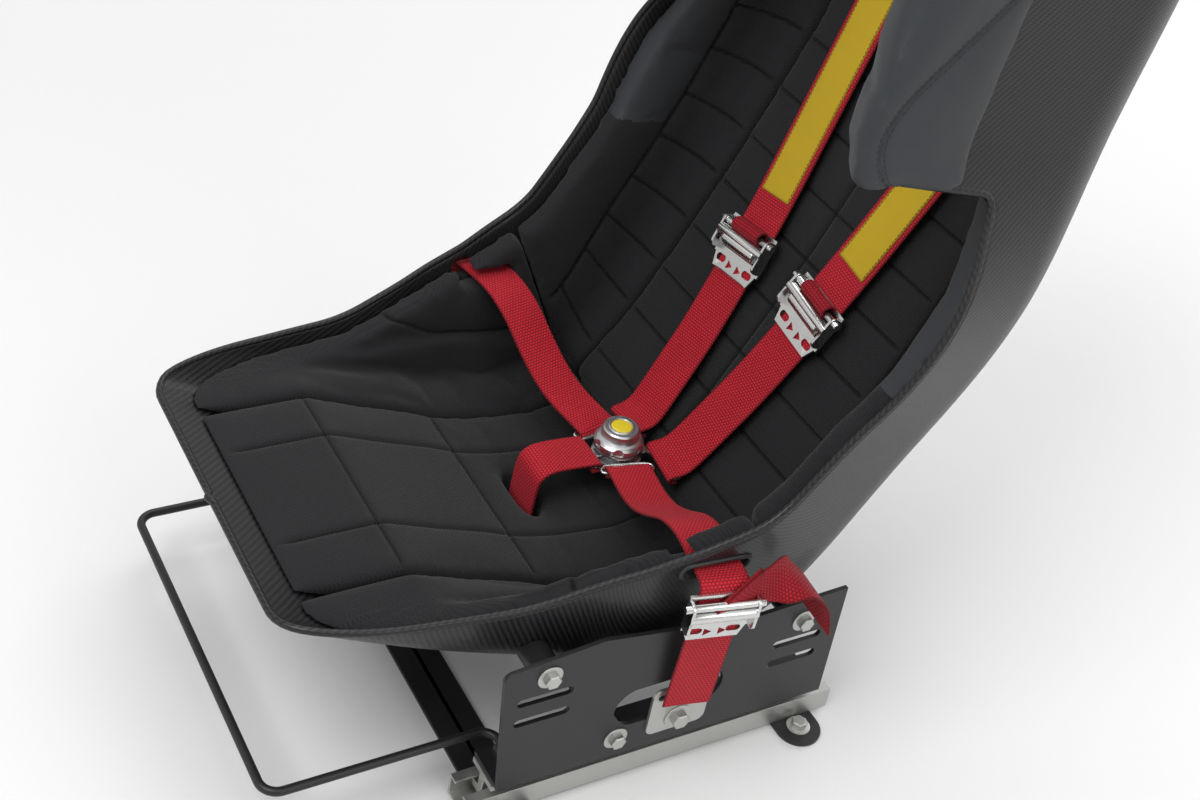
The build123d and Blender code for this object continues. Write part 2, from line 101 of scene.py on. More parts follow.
# %% World and lamps
world = bpy.data.worlds.new("studio")
scene.world = world
world.use_nodes = True
scene.view_settings.view_transform = "Standard"
SEAT_MIDDLE = Vector((0, 0, 0.4))


def area_lamp(name, spot, size, power):
    """A square soft lamp at a point, turned to the middle of the seat."""
    lamp = bpy.data.lights.new(name, "AREA")
    lamp.shape = "SQUARE"
    lamp.size = size
    lamp.energy = power
    holder = bpy.data.objects.new(name, lamp)
    holder.location = spot
    holder.rotation_mode = "QUATERNION"
    holder.rotation_quaternion = (SEAT_MIDDLE - holder.location).to_track_quat("-Z", "Y")
    scene.collection.objects.link(holder)


area_lamp("key", (0.6, -1.9, 2.9), 1.7, 62)
area_lamp("fill", (2.6, 0.6, 1.9), 2.2, 30)
area_lamp("top", (-1.0, 0.6, 3.0), 2.0, 34)
area_lamp("behind", (-0.6, 2.8, 1.4), 1.8, 24)
print("lamps", len(bpy.data.lights))

# %% [markdown]
# ## Shader maths as plain expressions
# A shader is a graph of nodes, but a weave is easier to read as a formula. The class below wraps one output
# of a node, so that `1 - mask` or `abs(x) * 3` adds the Math nodes that work it out. Every other node comes
# from one method, `add`, which takes its settings first and then the values or links of its sockets.


# %% Finish, a material under construction
class Wire:
    """A number that varies over a surface: an output socket in a material's tree."""

    def __init__(self, tree, socket):
        self.tree = tree
        self.socket = socket

    def math(self, operation, *values):
        step = self.tree.nodes.new("ShaderNodeMath")
        step.operation = operation
        for entry, value in zip(step.inputs, values):
            connect(self.tree, entry, value)
        return Wire(self.tree, step.outputs[0])

    def __rsub__(self, other):
        return self.math("SUBTRACT", other, self)


def operator(kind):
    """A method that adds one kind of Math node."""
    return lambda self, *others: self.math(kind, self, *others)


for method, kind in (("__add__", "ADD"), ("__radd__", "ADD"), ("__sub__", "SUBTRACT"), ("__mul__", "MULTIPLY"),
                     ("__rmul__", "MULTIPLY"), ("__truediv__", "DIVIDE"), ("__mod__", "FLOORED_MODULO"),
                     ("__pow__", "POWER"), ("__lt__", "LESS_THAN"), ("__gt__", "GREATER_THAN"),
                     ("__abs__", "ABSOLUTE"), ("floor", "FLOOR"), ("sin", "SINE"), ("least", "MINIMUM"),
                     ("most", "MAXIMUM")):
    setattr(Wire, method, operator(kind))


def connect(tree, entry, value):
    """Link a socket to a wire, or set its own value."""
    if isinstance(value, Wire):
        tree.links.new(value.socket, entry)
    elif hasattr(value, "__len__") and len(value) == 3 and entry.type == "RGBA":
        entry.default_value = (*value, 1)
    else:
        entry.default_value = value


class Finish:
    """A material with its Principled shader, and one method that adds any other node."""

    def __init__(self, name, slot=None, **sockets):
        self.material = bpy.data.materials.new(name)
        self.material.use_nodes = True
        self.tree = self.material.node_tree
        self.slot = slot
        self.shader = self.tree.nodes["Principled BSDF"]
        self.set(**sockets)

    def set(self, **sockets):
        for name, value in sockets.items():
            connect(self.tree, self.shader.inputs[name.replace("_", " ")], value)

    def add(self, kind, settings, sockets, output=0):
        made = self.tree.nodes.new("ShaderNode" + kind)
        for name, value in settings.items():
            setattr(made, name, value)
        for name, value in sockets.items():
            connect(self.tree, made.inputs[name], value)
        return Wire(self.tree, made.outputs[output])

    def mix(self, share, first, second):
        return self.add("Mix", {"data_type": "RGBA"}, {0: share, 6: first, 7: second}, 2)

    def laid(self):
        """What the mesh keeps: millimetres across and along its cloth, and how near a seam or edge is."""
        vector = self.add("Attribute", {"attribute_name": "laid"}, {}, 1)
        return [self.add("SeparateXYZ", {}, {0: vector}, i) for i in range(3)]

    def spot(self):
        return self.add("TexCoord", {}, {}, 3)

    def noise(self, vector, scale, detail=2.0, rough=0.5):
        sockets = {"Vector": vector, "Scale": scale, "Detail": detail, "Roughness": rough}
        return self.add("TexNoise", {}, sockets)

    def rise(self, height, depth, strength=1.0):
        """Turn a height from 0 to 1 into a bump of that depth in millimetres."""
        self.set(Normal=self.add("Bump", {}, {"Height": height, "Distance": depth * MM, "Strength": strength}))


print("shader operators ready")

# %% [markdown]
# The world uses the same way of writing. Light Path tells camera, mirror and matt rays apart, and mirror
# rays meet broad light and dark bands, so that polished metal has something to show.

# %% World shading
sky = world.node_tree
path = sky.nodes.new("ShaderNodeLightPath")
plain = Wire(sky, path.outputs["Is Camera Ray"]).most(Wire(sky, path.outputs["Is Transmission Ray"]))
mirrored_ray = Wire(sky, path.outputs["Is Glossy Ray"])
heading = sky.nodes.new("ShaderNodeTexCoord")
parts = sky.nodes.new("ShaderNodeSeparateXYZ")
sky.links.new(heading.outputs["Generated"], parts.inputs[0])
slope = Wire(sky, parts.outputs["Z"]) * 6.5 + Wire(sky, parts.outputs["X"]) * 2.0 + 0.6
light_bands = slope.sin() * 0.5 + 0.5
sky.nodes["Background"].inputs["Color"].default_value = (1, 1, 1, 1)
connect(sky, sky.nodes["Background"].inputs["Strength"],
        (plain * 0.58 + 0.42) * (1 - mirrored_ray) + mirrored_ray * (light_bands * 0.85 + 0.12))
print("world nodes", len(sky.nodes))

# %% [markdown]
# ## Knitted seat cloth
# The seat's cloth is a black spacer knit: rows of small round eyes, each row set half a stitch along. The
# eyes are a formula on the cloth's own millimetres, so the knit follows the cushion round every bolster.

# %% Knit
knit = Finish("black_knit", "knit", Roughness=0.92, Specular_IOR_Level=0.25, Sheen_Weight=0.1,
              Sheen_Roughness=0.45)
across, along, seam_groove_shade = knit.laid()
EYE_PITCH, COURSE_PITCH, EYE_RADIUS = 2.4, 1.7, 0.85
course = (along / COURSE_PITCH).floor()
eye_x = ((across / EYE_PITCH + (course % 2) * 0.5) % 1 - 0.5) * EYE_PITCH
eye_y = ((along / COURSE_PITCH) % 1 - 0.5) * COURSE_PITCH
eye = ((eye_x * eye_x + eye_y * eye_y) ** 0.5 / EYE_RADIUS).least(1)
worn = knit.noise(knit.spot(), 14, 3)
cloth = knit.mix(eye * 0.75 + worn * 0.25, (0.003, 0.003, 0.004), (0.019, 0.019, 0.021))
# Along each sewn groove the knit is painted darker still: painted shade in the groove.
knit.set(Base_Color=knit.mix(seam_groove_shade, cloth, (0.001, 0.001, 0.001)))
knit.rise(eye, 0.45)
print("knit nodes", len(knit.tree.nodes))

# %% [markdown]
# ## Leatherette
# The wings are covered in matt slate leatherette. Its grain is small irregular cells, which a Voronoi
# texture gives, and larger noise varies how matt it is where hands and shoulders rub.

# %% Leatherette
hide = Finish("slate_leatherette", "leatherette", Sheen_Weight=0.06, Sheen_Roughness=0.5,
              Specular_IOR_Level=0.35)
cells = hide.add("TexVoronoi", {"feature": "DISTANCE_TO_EDGE"}, {"Vector": hide.spot(), "Scale": 620.0})
grain = (cells * 5).least(1)
rub = hide.noise(hide.spot(), 9, 4)
hide.set(Base_Color=hide.mix(rub, (0.018, 0.021, 0.025), (0.030, 0.034, 0.039)), Roughness=0.44 + rub * 0.2)
hide.rise(grain, 0.12, 0.8)
print("leatherette nodes", len(hide.tree.nodes))

# %% [markdown]
# ## Carbon twill
# The shell is a 2 x 2 twill: each tow goes over two and under two, and the next is a step along, which
# makes the diagonal. The mask says which tow is on top, and the height is a rounded back across the tow
# that is.

# %% Carbon
carbon = Finish("carbon_twill", "carbon", Roughness=0.45, Specular_IOR_Level=0.3, Coat_Weight=0.22,
                Coat_Roughness=0.2)
across, along, _ = carbon.laid()
TOW = 1.75
warp = ((across / TOW).floor() + (along / TOW).floor()) % 4 < 2
back_warp = 1 - abs((across / TOW) % 1 - 0.5) * 2
back_weft = 1 - abs((along / TOW) % 1 - 0.5) * 2
tow = warp * back_warp + (1 - warp) * back_weft
carbon.set(Base_Color=carbon.mix(warp, (0.004, 0.004, 0.005), (0.020, 0.020, 0.022)))
carbon.rise(tow ** 0.5, 0.16, 0.7)
print("twill nodes", len(carbon.tree.nodes))

# %% [markdown]
# ## Webbing
# Harness webbing is a coarse plain weave of polyester. Each row of thread humps is set half a step along
# from the last, on the webbing's own millimetres, and the selvedge at both edges is darker.


# %% Webbing, patches and thread
def webbing(name, dark, light, slot="webbing", rib=3.4):
    """A woven strap finish of one colour."""
    woven = Finish(name, slot, Roughness=0.7, Specular_IOR_Level=0.2, Sheen_Weight=0.04)
    across, along, edge = woven.laid()
    row = (along / (rib * 0.8)).floor()
    over = 1 - abs((across / rib + (row % 2) * 0.5) % 1 - 0.5) * 2
    back = 1 - abs((along / (rib * 0.8)) % 1 - 0.5) * 2
    height = (over * 1.5).least(1) * (back * 1.6).least(1)
    wear = woven.noise(woven.spot(), 30, 3)
    weave = woven.mix(height * 0.8 + wear * 0.2, dark, light)
    selvedge = (edge > 0.93) * 0.6
    woven.set(Base_Color=woven.mix(selvedge, weave, [v * 0.4 for v in dark]))
    woven.rise(height, 0.45)
    return woven


red_web = webbing("red_webbing", (0.15, 0.003, 0.007), (0.68, 0.022, 0.042))
# The same red webbing painted darker, as painted shade, for the rolls round the adjusters and the lap tails,
# which lie in shade.
shaded_red_web = webbing("shaded_red_webbing", (0.11, 0.002, 0.005), (0.44, 0.012, 0.024))
patch_cloth = webbing("yellow_patch", (0.58, 0.38, 0.012), (0.84, 0.60, 0.03), rib=1.1)
disc_yellow = Finish("blank_disc", "buckle_alloy", Coat_Weight=0.5, Coat_Roughness=0.1)
speck = disc_yellow.noise(disc_yellow.spot(), 90, 4)
disc_yellow.set(Base_Color=disc_yellow.mix(speck, (0.72, 0.56, 0.02), (0.80, 0.64, 0.03)),
                Roughness=0.3 + speck * 0.15)
red_thread = Finish("red_thread", "webbing", Base_Color=(0.20, 0.005, 0.01, 1), Roughness=0.6)
black_thread = Finish("black_thread", "leatherette", Roughness=0.55)
black_thread.set(Base_Color=black_thread.mix(black_thread.noise(black_thread.spot(), 300),
                                             (0.010, 0.010, 0.011), (0.03, 0.03, 0.033)))
print("webbing nodes", len(red_web.tree.nodes))


# %% [markdown]
# ## Metal and paint
# Polished and plated parts are metal with fine scratches in their roughness. Painted steel has a satin coat
# with a slight orange peel.


# %% Metals
def metal(name, slot, shade, rough, spread, scale=60.0):
    """A bare metal whose roughness is scratched unevenly."""
    bare = Finish(name, slot, Metallic=1.0)
    cloud = bare.noise(bare.spot(), scale, 4, 0.6)
    scratch = bare.noise(bare.add("Mapping", {}, {0: bare.spot(), "Scale": (1, 0.06, 1)}), 900.0, 2)
    bare.set(Base_Color=bare.mix(cloud, [v * 0.86 for v in shade], shade), Roughness=rough + cloud * spread)
    bare.rise(scratch, 0.02, 0.5)
    return bare


steel = metal("bright_steel", "bright_steel", (0.72, 0.72, 0.71), 0.18, 0.16)
alloy = metal("buckle_alloy", "buckle_alloy", (0.56, 0.56, 0.57), 0.28, 0.2)
zinc = metal("rail_zinc", "rail_zinc", (0.56, 0.56, 0.54), 0.34, 0.22)
paint = Finish("satin_black_paint", "bracket_black", Specular_IOR_Level=0.35, Coat_Weight=0.12,
               Coat_Roughness=0.25)
peel = paint.noise(paint.spot(), 420.0, 2)
dust = paint.noise(paint.spot(), 18.0, 5, 0.6)
paint.set(Base_Color=paint.mix(dust, (0.010, 0.010, 0.011), (0.021, 0.021, 0.022)), Roughness=0.36 + dust * 0.2)
paint.rise(peel, 0.05, 0.4)
moulding = Finish("moulded_black", "bracket_black", Roughness=0.5)
moulding.set(Base_Color=moulding.mix(moulding.noise(moulding.spot(), 60, 3), (0.012,) * 3, (0.028,) * 3))
moulding.rise(moulding.noise(moulding.spot(), 700.0, 3), 0.06, 0.6)
print("finishes", len(bpy.data.materials))

# %% [markdown]
# ## The form of the seat
# The shell and every cushion follow one form: a U-shaped section that travels along a bent spine. A point
# on it is named by how far along the spine it is, how many millimetres round the section from the middle,
# and how deep it lies below the outside face. Smooth curves through the stations keep the glossy twill free
# of kinks.

# %% Sections along the spine
STATIONS = np.array([
    # y, z, lean, floor_half, rim_half, side, corner
    (-316, 224, -26, 180, 212, 150, 56),
    (-200, 168, -20, 186, 226, 190, 60),
    (-100, 129, -14, 192, 234, 215, 65),
    (-15, 102, 0, 197, 240, 225, 70),
    (135, 112, 22, 201, 246, 220, 75),
    (253, 275, 55, 207, 264, 240, 85),
    (330, 437, 72, 216, 282, 260, 95),
    (395, 601, 86, 204, 216, 340, 100),
    (443, 766, 88, 182, 204, 340, 95),
    (472, 950, 89, 160, 188, 300, 85),
], float)


def unit(vectors):
    """Vectors made one long."""
    return vectors / np.linalg.norm(vectors, axis=-1, keepdims=True)


def station(u):
    """The section's numbers at u stations along the spine, on a smooth curve through the table."""
    u = np.clip(np.asarray(u, float), 0, len(STATIONS) - 1 - 1e-9)
    i = np.floor(u).astype(int)
    t = (u - i)[..., None]
    a, b, c = STATIONS[np.maximum(i - 1, 0)], STATIONS[i], STATIONS[i + 1]
    d = STATIONS[np.minimum(i + 2, len(STATIONS) - 1)]
    bend = (2 * a - 5 * b + 4 * c - d) * t ** 2 + (3 * b - a - 3 * c + d) * t ** 3
    return np.moveaxis(b + ((c - a) * t + bend) / 2, -1, 0)


def corner_of(u, floor_depth, side_depth):
    """Where a section's flat floor ends, its corner's radius and turn, and its side's direction."""
    y, z, lean, floor_half, rim_half, side, corner = station(u)
    flare = (rim_half - floor_half) / side
    shift = side_depth * np.hypot(1, flare)
    low = floor_half + flare * floor_depth - shift
    run, climb = flare * (side - floor_depth), side - floor_depth
    length = np.hypot(run, climb)
    run, climb = run / length, climb / length
    radius = np.maximum(corner - np.maximum(floor_depth, side_depth), 10)
    turn = np.arccos(np.clip(run, -1, 1))
    cut = radius * np.tan(turn / 2)
    return y, z, np.radians(lean), low, low - cut, radius, turn, cut, run, climb


def on_section(u, arc, floor_depth=0.0, side_depth=0.0):
    """The point arc millimetres round the section from its middle, in millimetres."""
    y, z, lean, low, flat, radius, turn, cut, run, climb = corner_of(u, floor_depth, side_depth)
    size = np.abs(arc)
    angle = np.clip((size - flat) / radius, 0, turn)
    rest = cut + size - flat - radius * turn
    x = np.where(size < flat, size, np.where(rest < cut, flat + radius * np.sin(angle), low + run * rest))
    high = np.where(size < flat, 0, np.where(rest < cut, radius * (1 - np.cos(angle)), climb * rest))
    high += floor_depth
    return np.stack([np.sign(arc) * x, y - np.sin(lean) * high, z + np.cos(lean) * high], -1)


print("spine of", len(STATIONS), "stations")

# %% [markdown]
# The side view outline trims each section. Its corners are rounded arcs. A section is followed outwards
# until it leaves the outline, and halving the last step gives the edge to a fraction of a millimetre.

# %% Outlines
RIM = ((-345, 40, 0), (-345, 226, 50), (-120, 226, 150), (14, 270, 90), (80, 300, 90), (150, 405, 120),
       (196, 520, 60), (212, 572, 14), (78, 606, 30), (92, 690, 60), (190, 862, 90), (330, 915, 60),
       (540, 930, 0), (540, 40, 0))
CROWN_RADIUS = (330 ** 2 + 228 ** 2) / (2 * 228)
CROWN_TOP = 928.0
FLOOR_PAD, SIDE_PAD = 50.0, 32.0
SHELL_THICK = 5.0


def rounded(outline):
    """A closed outline's points, with each corner given as its arc."""
    points = []
    for i, (y, z, radius) in enumerate(outline):
        here = np.array((y, z), float)
        if radius == 0:
            points.append(here)
            continue
        back = unit(np.array(outline[i - 1][:2], float) - here)
        ahead = unit(np.array(outline[(i + 1) % len(outline)][:2], float) - here)
        half = np.arccos(np.clip(back @ ahead, -1, 1)) / 2
        start, end = here + back * radius / tan(half), here + ahead * radius / tan(half)
        middle = here + unit(back + ahead) * radius / sin(half)
        points += [middle + unit(start + (end - start) * t - middle) * radius for t in np.linspace(0, 1, 12)]
    return np.array(points)


def inside(points):
    """Whether points lie inside the rim's side view and under the arched top."""
    x, y, z = np.moveaxis(points, -1, 0)
    within = np.zeros(x.shape, bool)
    for (y1, z1), (y2, z2) in zip(rim_edge, np.roll(rim_edge, -1, 0)):
        if z1 != z2:
            within ^= ((z1 > z) != (z2 > z)) & (y < (y2 - y1) * (z - z1) / (z2 - z1) + y1)
    centre = CROWN_TOP - CROWN_RADIUS
    return within & ((z < centre) | (np.hypot(x, z - centre) < CROWN_RADIUS))


def reach(u):
    """How far round each section the rim is met, given rows of u."""
    arcs = np.arange(0, 640, 4.0)
    held = inside(on_section(u[:, None], arcs[None, :]))
    first = np.argmin(held, 1)
    low, high = arcs[np.maximum(first - 1, 0)], arcs[first]
    for _ in range(12):
        middle = (low + high) / 2
        ok = inside(on_section(u, middle))
        low, high = np.where(ok, middle, low), np.where(ok, high, middle)
    return np.where(held[:, 0], low, 0.0)


def travelled(points):
    """The distance covered at each of a row of points."""
    return np.concatenate([[0], np.cumsum(np.linalg.norm(np.diff(points, axis=0), axis=1))])


rim_edge = rounded(RIM)
fine = np.linspace(0, len(STATIONS) - 1, 6001)
edge_reach = reach(fine)
last = np.nonzero(edge_reach > 0)[0][-1]
fine, edge_reach = fine[:last + 1], edge_reach[:last + 1]
TOP_U = fine[-1]
pad_line = on_section(fine, np.zeros_like(fine), FLOOR_PAD, SIDE_PAD)
spine_run = travelled(pad_line)
print("top of the shell at station", round(float(TOP_U), 3), "spine", round(float(spine_run[-1])), "mm")

# %% [markdown]
# ## Mesh helpers
# A grid of rows and columns becomes a mesh with its millimetres across and along kept as the attribute
# `laid`. Rows that close on themselves make a tube, and two caps close its ends.


# %% Mesh from a grid
def finish_piece(thing, finish, body, *replaced):
    """Give a piece its finish, its body and the CAD nodes that it stands for."""
    thing.data.materials.clear()
    thing.data.materials.append(finish.material)
    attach(thing, body)
    if replaced:
        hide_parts(*replaced)
    return thing


def smooth_shaded(thing, smooth=True):
    thing.data.polygons.foreach_set("use_smooth", [smooth] * len(thing.data.polygons))


def mesh_piece(name, points, faces, laid=None, smooth=True):
    """An object from points in millimetres of the drawing and faces, smooth by default."""
    mesh = bpy.data.meshes.new(name)
    moved = (np.asarray(points, float) - (0, MIDDLE_Y, 0)) * MM
    mesh.from_pydata(moved.tolist(), [], [list(map(int, f)) for f in faces])
    if laid is not None:
        attribute = mesh.attributes.new("laid", "FLOAT_VECTOR", "POINT")
        values = np.zeros((len(points), 3), np.float32)
        values[:, :np.asarray(laid).shape[1]] = laid
        attribute.data.foreach_set("vector", values.ravel())
    thing = bpy.data.objects.new(name, mesh)
    smooth_shaded(thing, smooth)
    mesh.update()
    scene.collection.objects.link(thing)
    return thing


def grid_faces(rows, columns, closed_rows=False, closed_columns=False):
    """Quads between rows of points, which may close on themselves either way."""
    i = np.arange(rows if closed_columns else rows - 1)[:, None]
    j = np.arange(columns if closed_rows else columns - 1)[None, :]
    a = i * columns + j
    b = i * columns + (j + 1) % columns
    c = ((i + 1) % rows) * columns + (j + 1) % columns
    d = ((i + 1) % rows) * columns + j
    return np.stack([a, b, c, d], -1).reshape(-1, 4).tolist()


def tube_faces(rows, columns):
    """The wall and the two end caps of rows of points that close on themselves."""
    ends = [list(range(columns))[::-1], list(range((rows - 1) * columns, rows * columns))]
    return grid_faces(rows, columns, closed_rows=True) + ends


def outward(thing, gap=None):
    """Turn every face outwards, after merging points nearer than the gap in millimetres."""
    bm = bmesh.new()
    bm.from_mesh(thing.data)
    if gap:
        bmesh.ops.remove_doubles(bm, verts=bm.verts, dist=gap * MM)
        bmesh.ops.dissolve_degenerate(bm, dist=gap * MM, edges=bm.edges)
    bmesh.ops.recalc_face_normals(bm, faces=bm.faces)
    bm.to_mesh(thing.data)
    bm.free()
    return thing


def rows_of(items, name):
    """Three numbers for each item of a mesh, such as the places or the normals of its points."""
    flat = np.zeros(len(items) * 3)
    items.foreach_get(name, flat)
    return flat.reshape(-1, 3)


def copy_of(source, name):
    """A piece of its own with a copy of another's mesh."""
    thing = bpy.data.objects.new(name, source.data.copy())
    scene.collection.objects.link(thing)
    return thing


def modify(thing, kind, name, **settings):
    """Add a modifier with its settings."""
    added = thing.modifiers.new(name, kind)
    for key, value in settings.items():
        setattr(added, key, value)
    return added


def applied(thing):
    """Replace a piece's mesh by what its modifiers make of it."""
    graph = bpy.context.evaluated_depsgraph_get()
    made = bpy.data.meshes.new_from_object(thing.evaluated_get(graph), depsgraph=graph)
    thing.modifiers.clear()
    thing.data = made
    return thing


def square_to(way):
    """Two directions square to a way and to each other."""
    one = unit(np.cross(way, (0, 0, 1) if abs(way[2]) < 0.9 else (1, 0, 0)))
    return one, np.cross(way, one)


def squared(side, way):
    """Directions turned square to a way, and made one long."""
    return unit(side - (side * way).sum(-1, keepdims=True) * way)


def tube(name, points, radius, sides, finish):
    """A closed loop of round bar or bead swept along points in millimetres."""
    ahead = np.roll(points, -1, 0) - points
    ahead = unit(ahead + np.roll(ahead, 1, 0))
    side = square_to(ahead[0])[0]
    turns = np.linspace(0, 2 * pi, sides, endpoint=False)
    rings = []
    for point, way in zip(points, ahead):
        side = squared(side, way)
        ring = np.cos(turns)[:, None] * side + np.sin(turns)[:, None] * np.cross(way, side)
        rings.append(point + radius * ring)
    laid = np.stack([np.tile(turns * radius, len(points)), np.repeat(travelled(points), sides)], -1)
    faces = grid_faces(len(points), sides, closed_rows=True, closed_columns=True)
    return finish_piece(outward(mesh_piece(name, np.concatenate(rings), faces, laid)), finish, "seat")


SIDES = (("left", np.ones(3)), ("right", np.array((-1.0, 1.0, 1.0))))
print("helpers ready")

# %% [markdown]
# ## Shell
# The shell is one laminate, 5 mm thick. Rows follow the rim, so the edge under the wing and the arch at the
# top are exact and no trimming is needed: each row's points are spread from rim to rim. A round bead closes
# the edge, as a moulder's return does, and the belt slots are cut through afterwards.

# %% Shell rows
def face_up(u, arc):
    """Unit normals of the form's outside face, towards the occupant."""
    nudge = 0.002
    along_u = on_section(np.minimum(u + nudge, 8.999), arc) - on_section(u - nudge * (u > 8.99), arc)
    over = on_section(u, arc + 0.2) - on_section(u, arc - 0.2)
    normal = np.cross(over, along_u)
    return normal / np.maximum(np.linalg.norm(normal, axis=-1, keepdims=True), 1e-9)


ROWS, COLUMNS = 236, 101
rim_line = on_section(fine, edge_reach)
step = np.maximum(np.linalg.norm(np.diff(rim_line, axis=0), axis=1), np.diff(spine_run))
measure = np.concatenate([[0], np.cumsum(step)])
rows = np.interp(np.linspace(0, measure[-1], ROWS), measure, fine)
arcs = np.interp(rows, fine, edge_reach)[:, None] * np.linspace(-1, 1, COLUMNS)[None, :]
stations = np.repeat(rows[:, None], COLUMNS, 1)
outer = on_section(stations, arcs)
up = face_up(stations, arcs)
up *= -np.sign(up[ROWS // 2, COLUMNS // 2, 1])
inner = outer + up * SHELL_THICK
laid_grid = np.stack([arcs, np.interp(rows, fine, spine_run)[:, None] + 0 * arcs], -1)
size = ROWS * COLUMNS
faces = grid_faces(ROWS, COLUMNS)
faces += [[a + size, d + size, c + size, b + size] for a, b, c, d in faces]
index = np.arange(size).reshape(ROWS, COLUMNS)
for edge in (index[:, 0], index[:, -1], index[0], index[-1]):
    faces += [[a, b, b + size, a + size] for a, b in zip(edge, edge[1:])]
points = np.concatenate([outer.reshape(-1, 3), inner.reshape(-1, 3)])
shell_skin = mesh_piece("shell_skin", points, faces, np.concatenate([laid_grid.reshape(-1, 2)] * 2))
smooth_shaded(outward(shell_skin, gap=0.02))
print("shell", len(shell_skin.data.polygons), "faces")

# %% [markdown]
# The slots are rounded rectangles pushed through the laminate with a Boolean modifier, which keeps the
# attribute.

# %% Belt slots
def rounded_rectangle(width, height, radius, steps):
    """Corner arcs of a rounded rectangle, as points round it."""
    points = []
    for k, (sx, sy) in enumerate(((1, 1), (-1, 1), (-1, -1), (1, -1))):
        for angle in np.linspace(0, pi / 2, steps) + k * pi / 2:
            points.append((sx * (width / 2 - radius) + radius * cos(angle),
                           sy * (height / 2 - radius) + radius * sin(angle)))
    return np.array(points)


class Slot:
    """A rounded slot: its middle, the ways of its width and depth, its size and its cut's half length."""

    def __init__(self, name, spot, x_axis, z_axis, size, radius, half):
        x_axis, z_axis = unit(np.array(x_axis, float)), unit(np.array(z_axis, float))
        self.name = name
        self.spot = np.array(spot, float)
        self.size, self.radius, self.half = size, radius, half
        self.axes = np.stack([x_axis, np.cross(z_axis, x_axis), z_axis])

    def ring(self, grow, steps, depth=0.0):
        """Points round the slot, a little larger, at a depth along its axis."""
        flat = rounded_rectangle(self.size[0] + grow, self.size[1] + grow, self.radius + grow / 2, steps)
        return self.spot + np.column_stack([flat, np.full(len(flat), depth)]) @ self.axes

    def cutter(self):
        """A closed prism through the slot."""
        ends = [self.ring(0, 6, depth) for depth in (-self.half, self.half)]
        return outward(mesh_piece("slot_tool", np.concatenate(ends), tube_faces(2, len(ends[0])), smooth=False))


def cut(thing, tool):
    """Cut a tool out of a piece, for good."""
    modify(thing, "BOOLEAN", "cut", operation="DIFFERENCE", solver="EXACT", object=tool)
    applied(thing)
    bpy.data.objects.remove(tool)


BELT_AXIS = (0, sin(radians(78)), -cos(radians(78)))
slots = []
for name, side in (("right", -1), ("left", 1)):
    slots.append(Slot(f"shoulder_{name}", (side * 99, 396, 667), (1, 0, 0), BELT_AXIS, (70, 20), 8, 120))
    slots.append(Slot(f"lap_{name}", (side * 205, 32, 250), (0, 1, 0), (1, 0, 0), (62, 16), 7, 65))
slots.append(Slot("crotch", (0, -16, 120), (1, 0, 0), (0, 0, 1), (62, 22), 10, 80))
for slot in slots:
    cut(shell_skin, slot.cutter())
finish_piece(shell_skin, carbon, "seat", "shell")
middle_rim = (outer[:, -1] + inner[:, -1]) / 2
front_rim = (outer[0] + inner[0]) / 2
loop = np.concatenate([middle_rim, (middle_rim * (-1, 1, 1))[::-1][1:], front_rim[1:-1]])
keep = np.concatenate([[True], np.linalg.norm(np.diff(loop, axis=0), axis=1) > 0.8])
tube("shell_bead", loop[keep], 3.3, 12, carbon)
print("shell cut,", len(shell_skin.data.polygons), "faces")

# %% [markdown]
# ## Where a point lies on the form
# Knit and seams need to know where they are on the cushion. A table of the form's surface is searched for
# the nearest point, and two corrections along the surface then give the place to a small fraction of a
# millimetre.

# %% Locate points on the form
def on_cushion(u, arc):
    return on_section(u, arc, FLOOR_PAD, SIDE_PAD)


TABLE_U, TABLE_ARC = np.meshgrid(np.linspace(0, TOP_U, 420), np.arange(0, 560, 4.0), indexing="ij")
table_points = on_cushion(TABLE_U, TABLE_ARC).reshape(-1, 3)
table_tree = KDTree(len(table_points))
for index, point in enumerate(table_points):
    table_tree.insert(point, index)
table_tree.balance()


def located(points):
    """Millimetres round the section and along the spine for points of the drawing."""
    folded = points.copy()
    folded[:, 0] = np.abs(points[:, 0])
    found = np.array([table_tree.find(p)[1] for p in folded])
    u, arc = TABLE_U.ravel()[found].copy(), TABLE_ARC.ravel()[found].copy()
    for _ in range(2):
        here = on_cushion(u, arc)
        along_u = (on_cushion(u + 0.01, arc) - here) / 0.01
        over = on_cushion(u, arc + 1) - here
        miss = folded - here
        u = np.clip(u + np.clip((miss * along_u).sum(1) / (along_u ** 2).sum(1), -0.03, 0.03), 0, TOP_U)
        arc = np.maximum(arc + np.clip((miss * over).sum(1) / (over ** 2).sum(1), -4, 4), 0)
    return arc * np.where(points[:, 0] < 0, -1.0, 1.0), np.interp(u, fine, spine_run)


def run_at_z(z):
    """Distance along the middle of the cushions where it reaches a height on the back."""
    back = fine > 3.5
    return float(np.interp(z, pad_line[back][:, 2], spine_run[back]))


print("form table", len(table_points), "points, squab to top", round(float(spine_run[-1])), "mm")

# %% [markdown]
# ## Cushions, from solid to foam
# Each cushion starts as a copy of its CAD solid. A voxel remesh gives it even faces, smoothing rolls its
# borders, and Blender's cloth solver blows it up like a filled cover. The points that touch the shell, a
# neighbour or a sewn channel are held, so the cloth rises between them as foam does under knit. The left
# pads are solved and the right ones are their mirror image.


# %% Soft copy, sewn lines and inflation
PRESSURE, FRAMES = 4.0, 20


def soft_copy(source, name, voxel, ease):
    """An evenly meshed copy of a cushion's solid with rolled borders."""
    thing = copy_of(source, name)
    modify(thing, "REMESH", "even", mode="VOXEL", voxel_size=voxel * MM, use_smooth_shade=True)
    modify(thing, "SMOOTH", "rolled", factor=0.5, iterations=ease)
    return applied(thing)


def drawing_points(thing):
    """A mesh's points in millimetres of the drawing."""
    return rows_of(thing.data.vertices, "co") / MM + (0, MIDDLE_Y, 0)


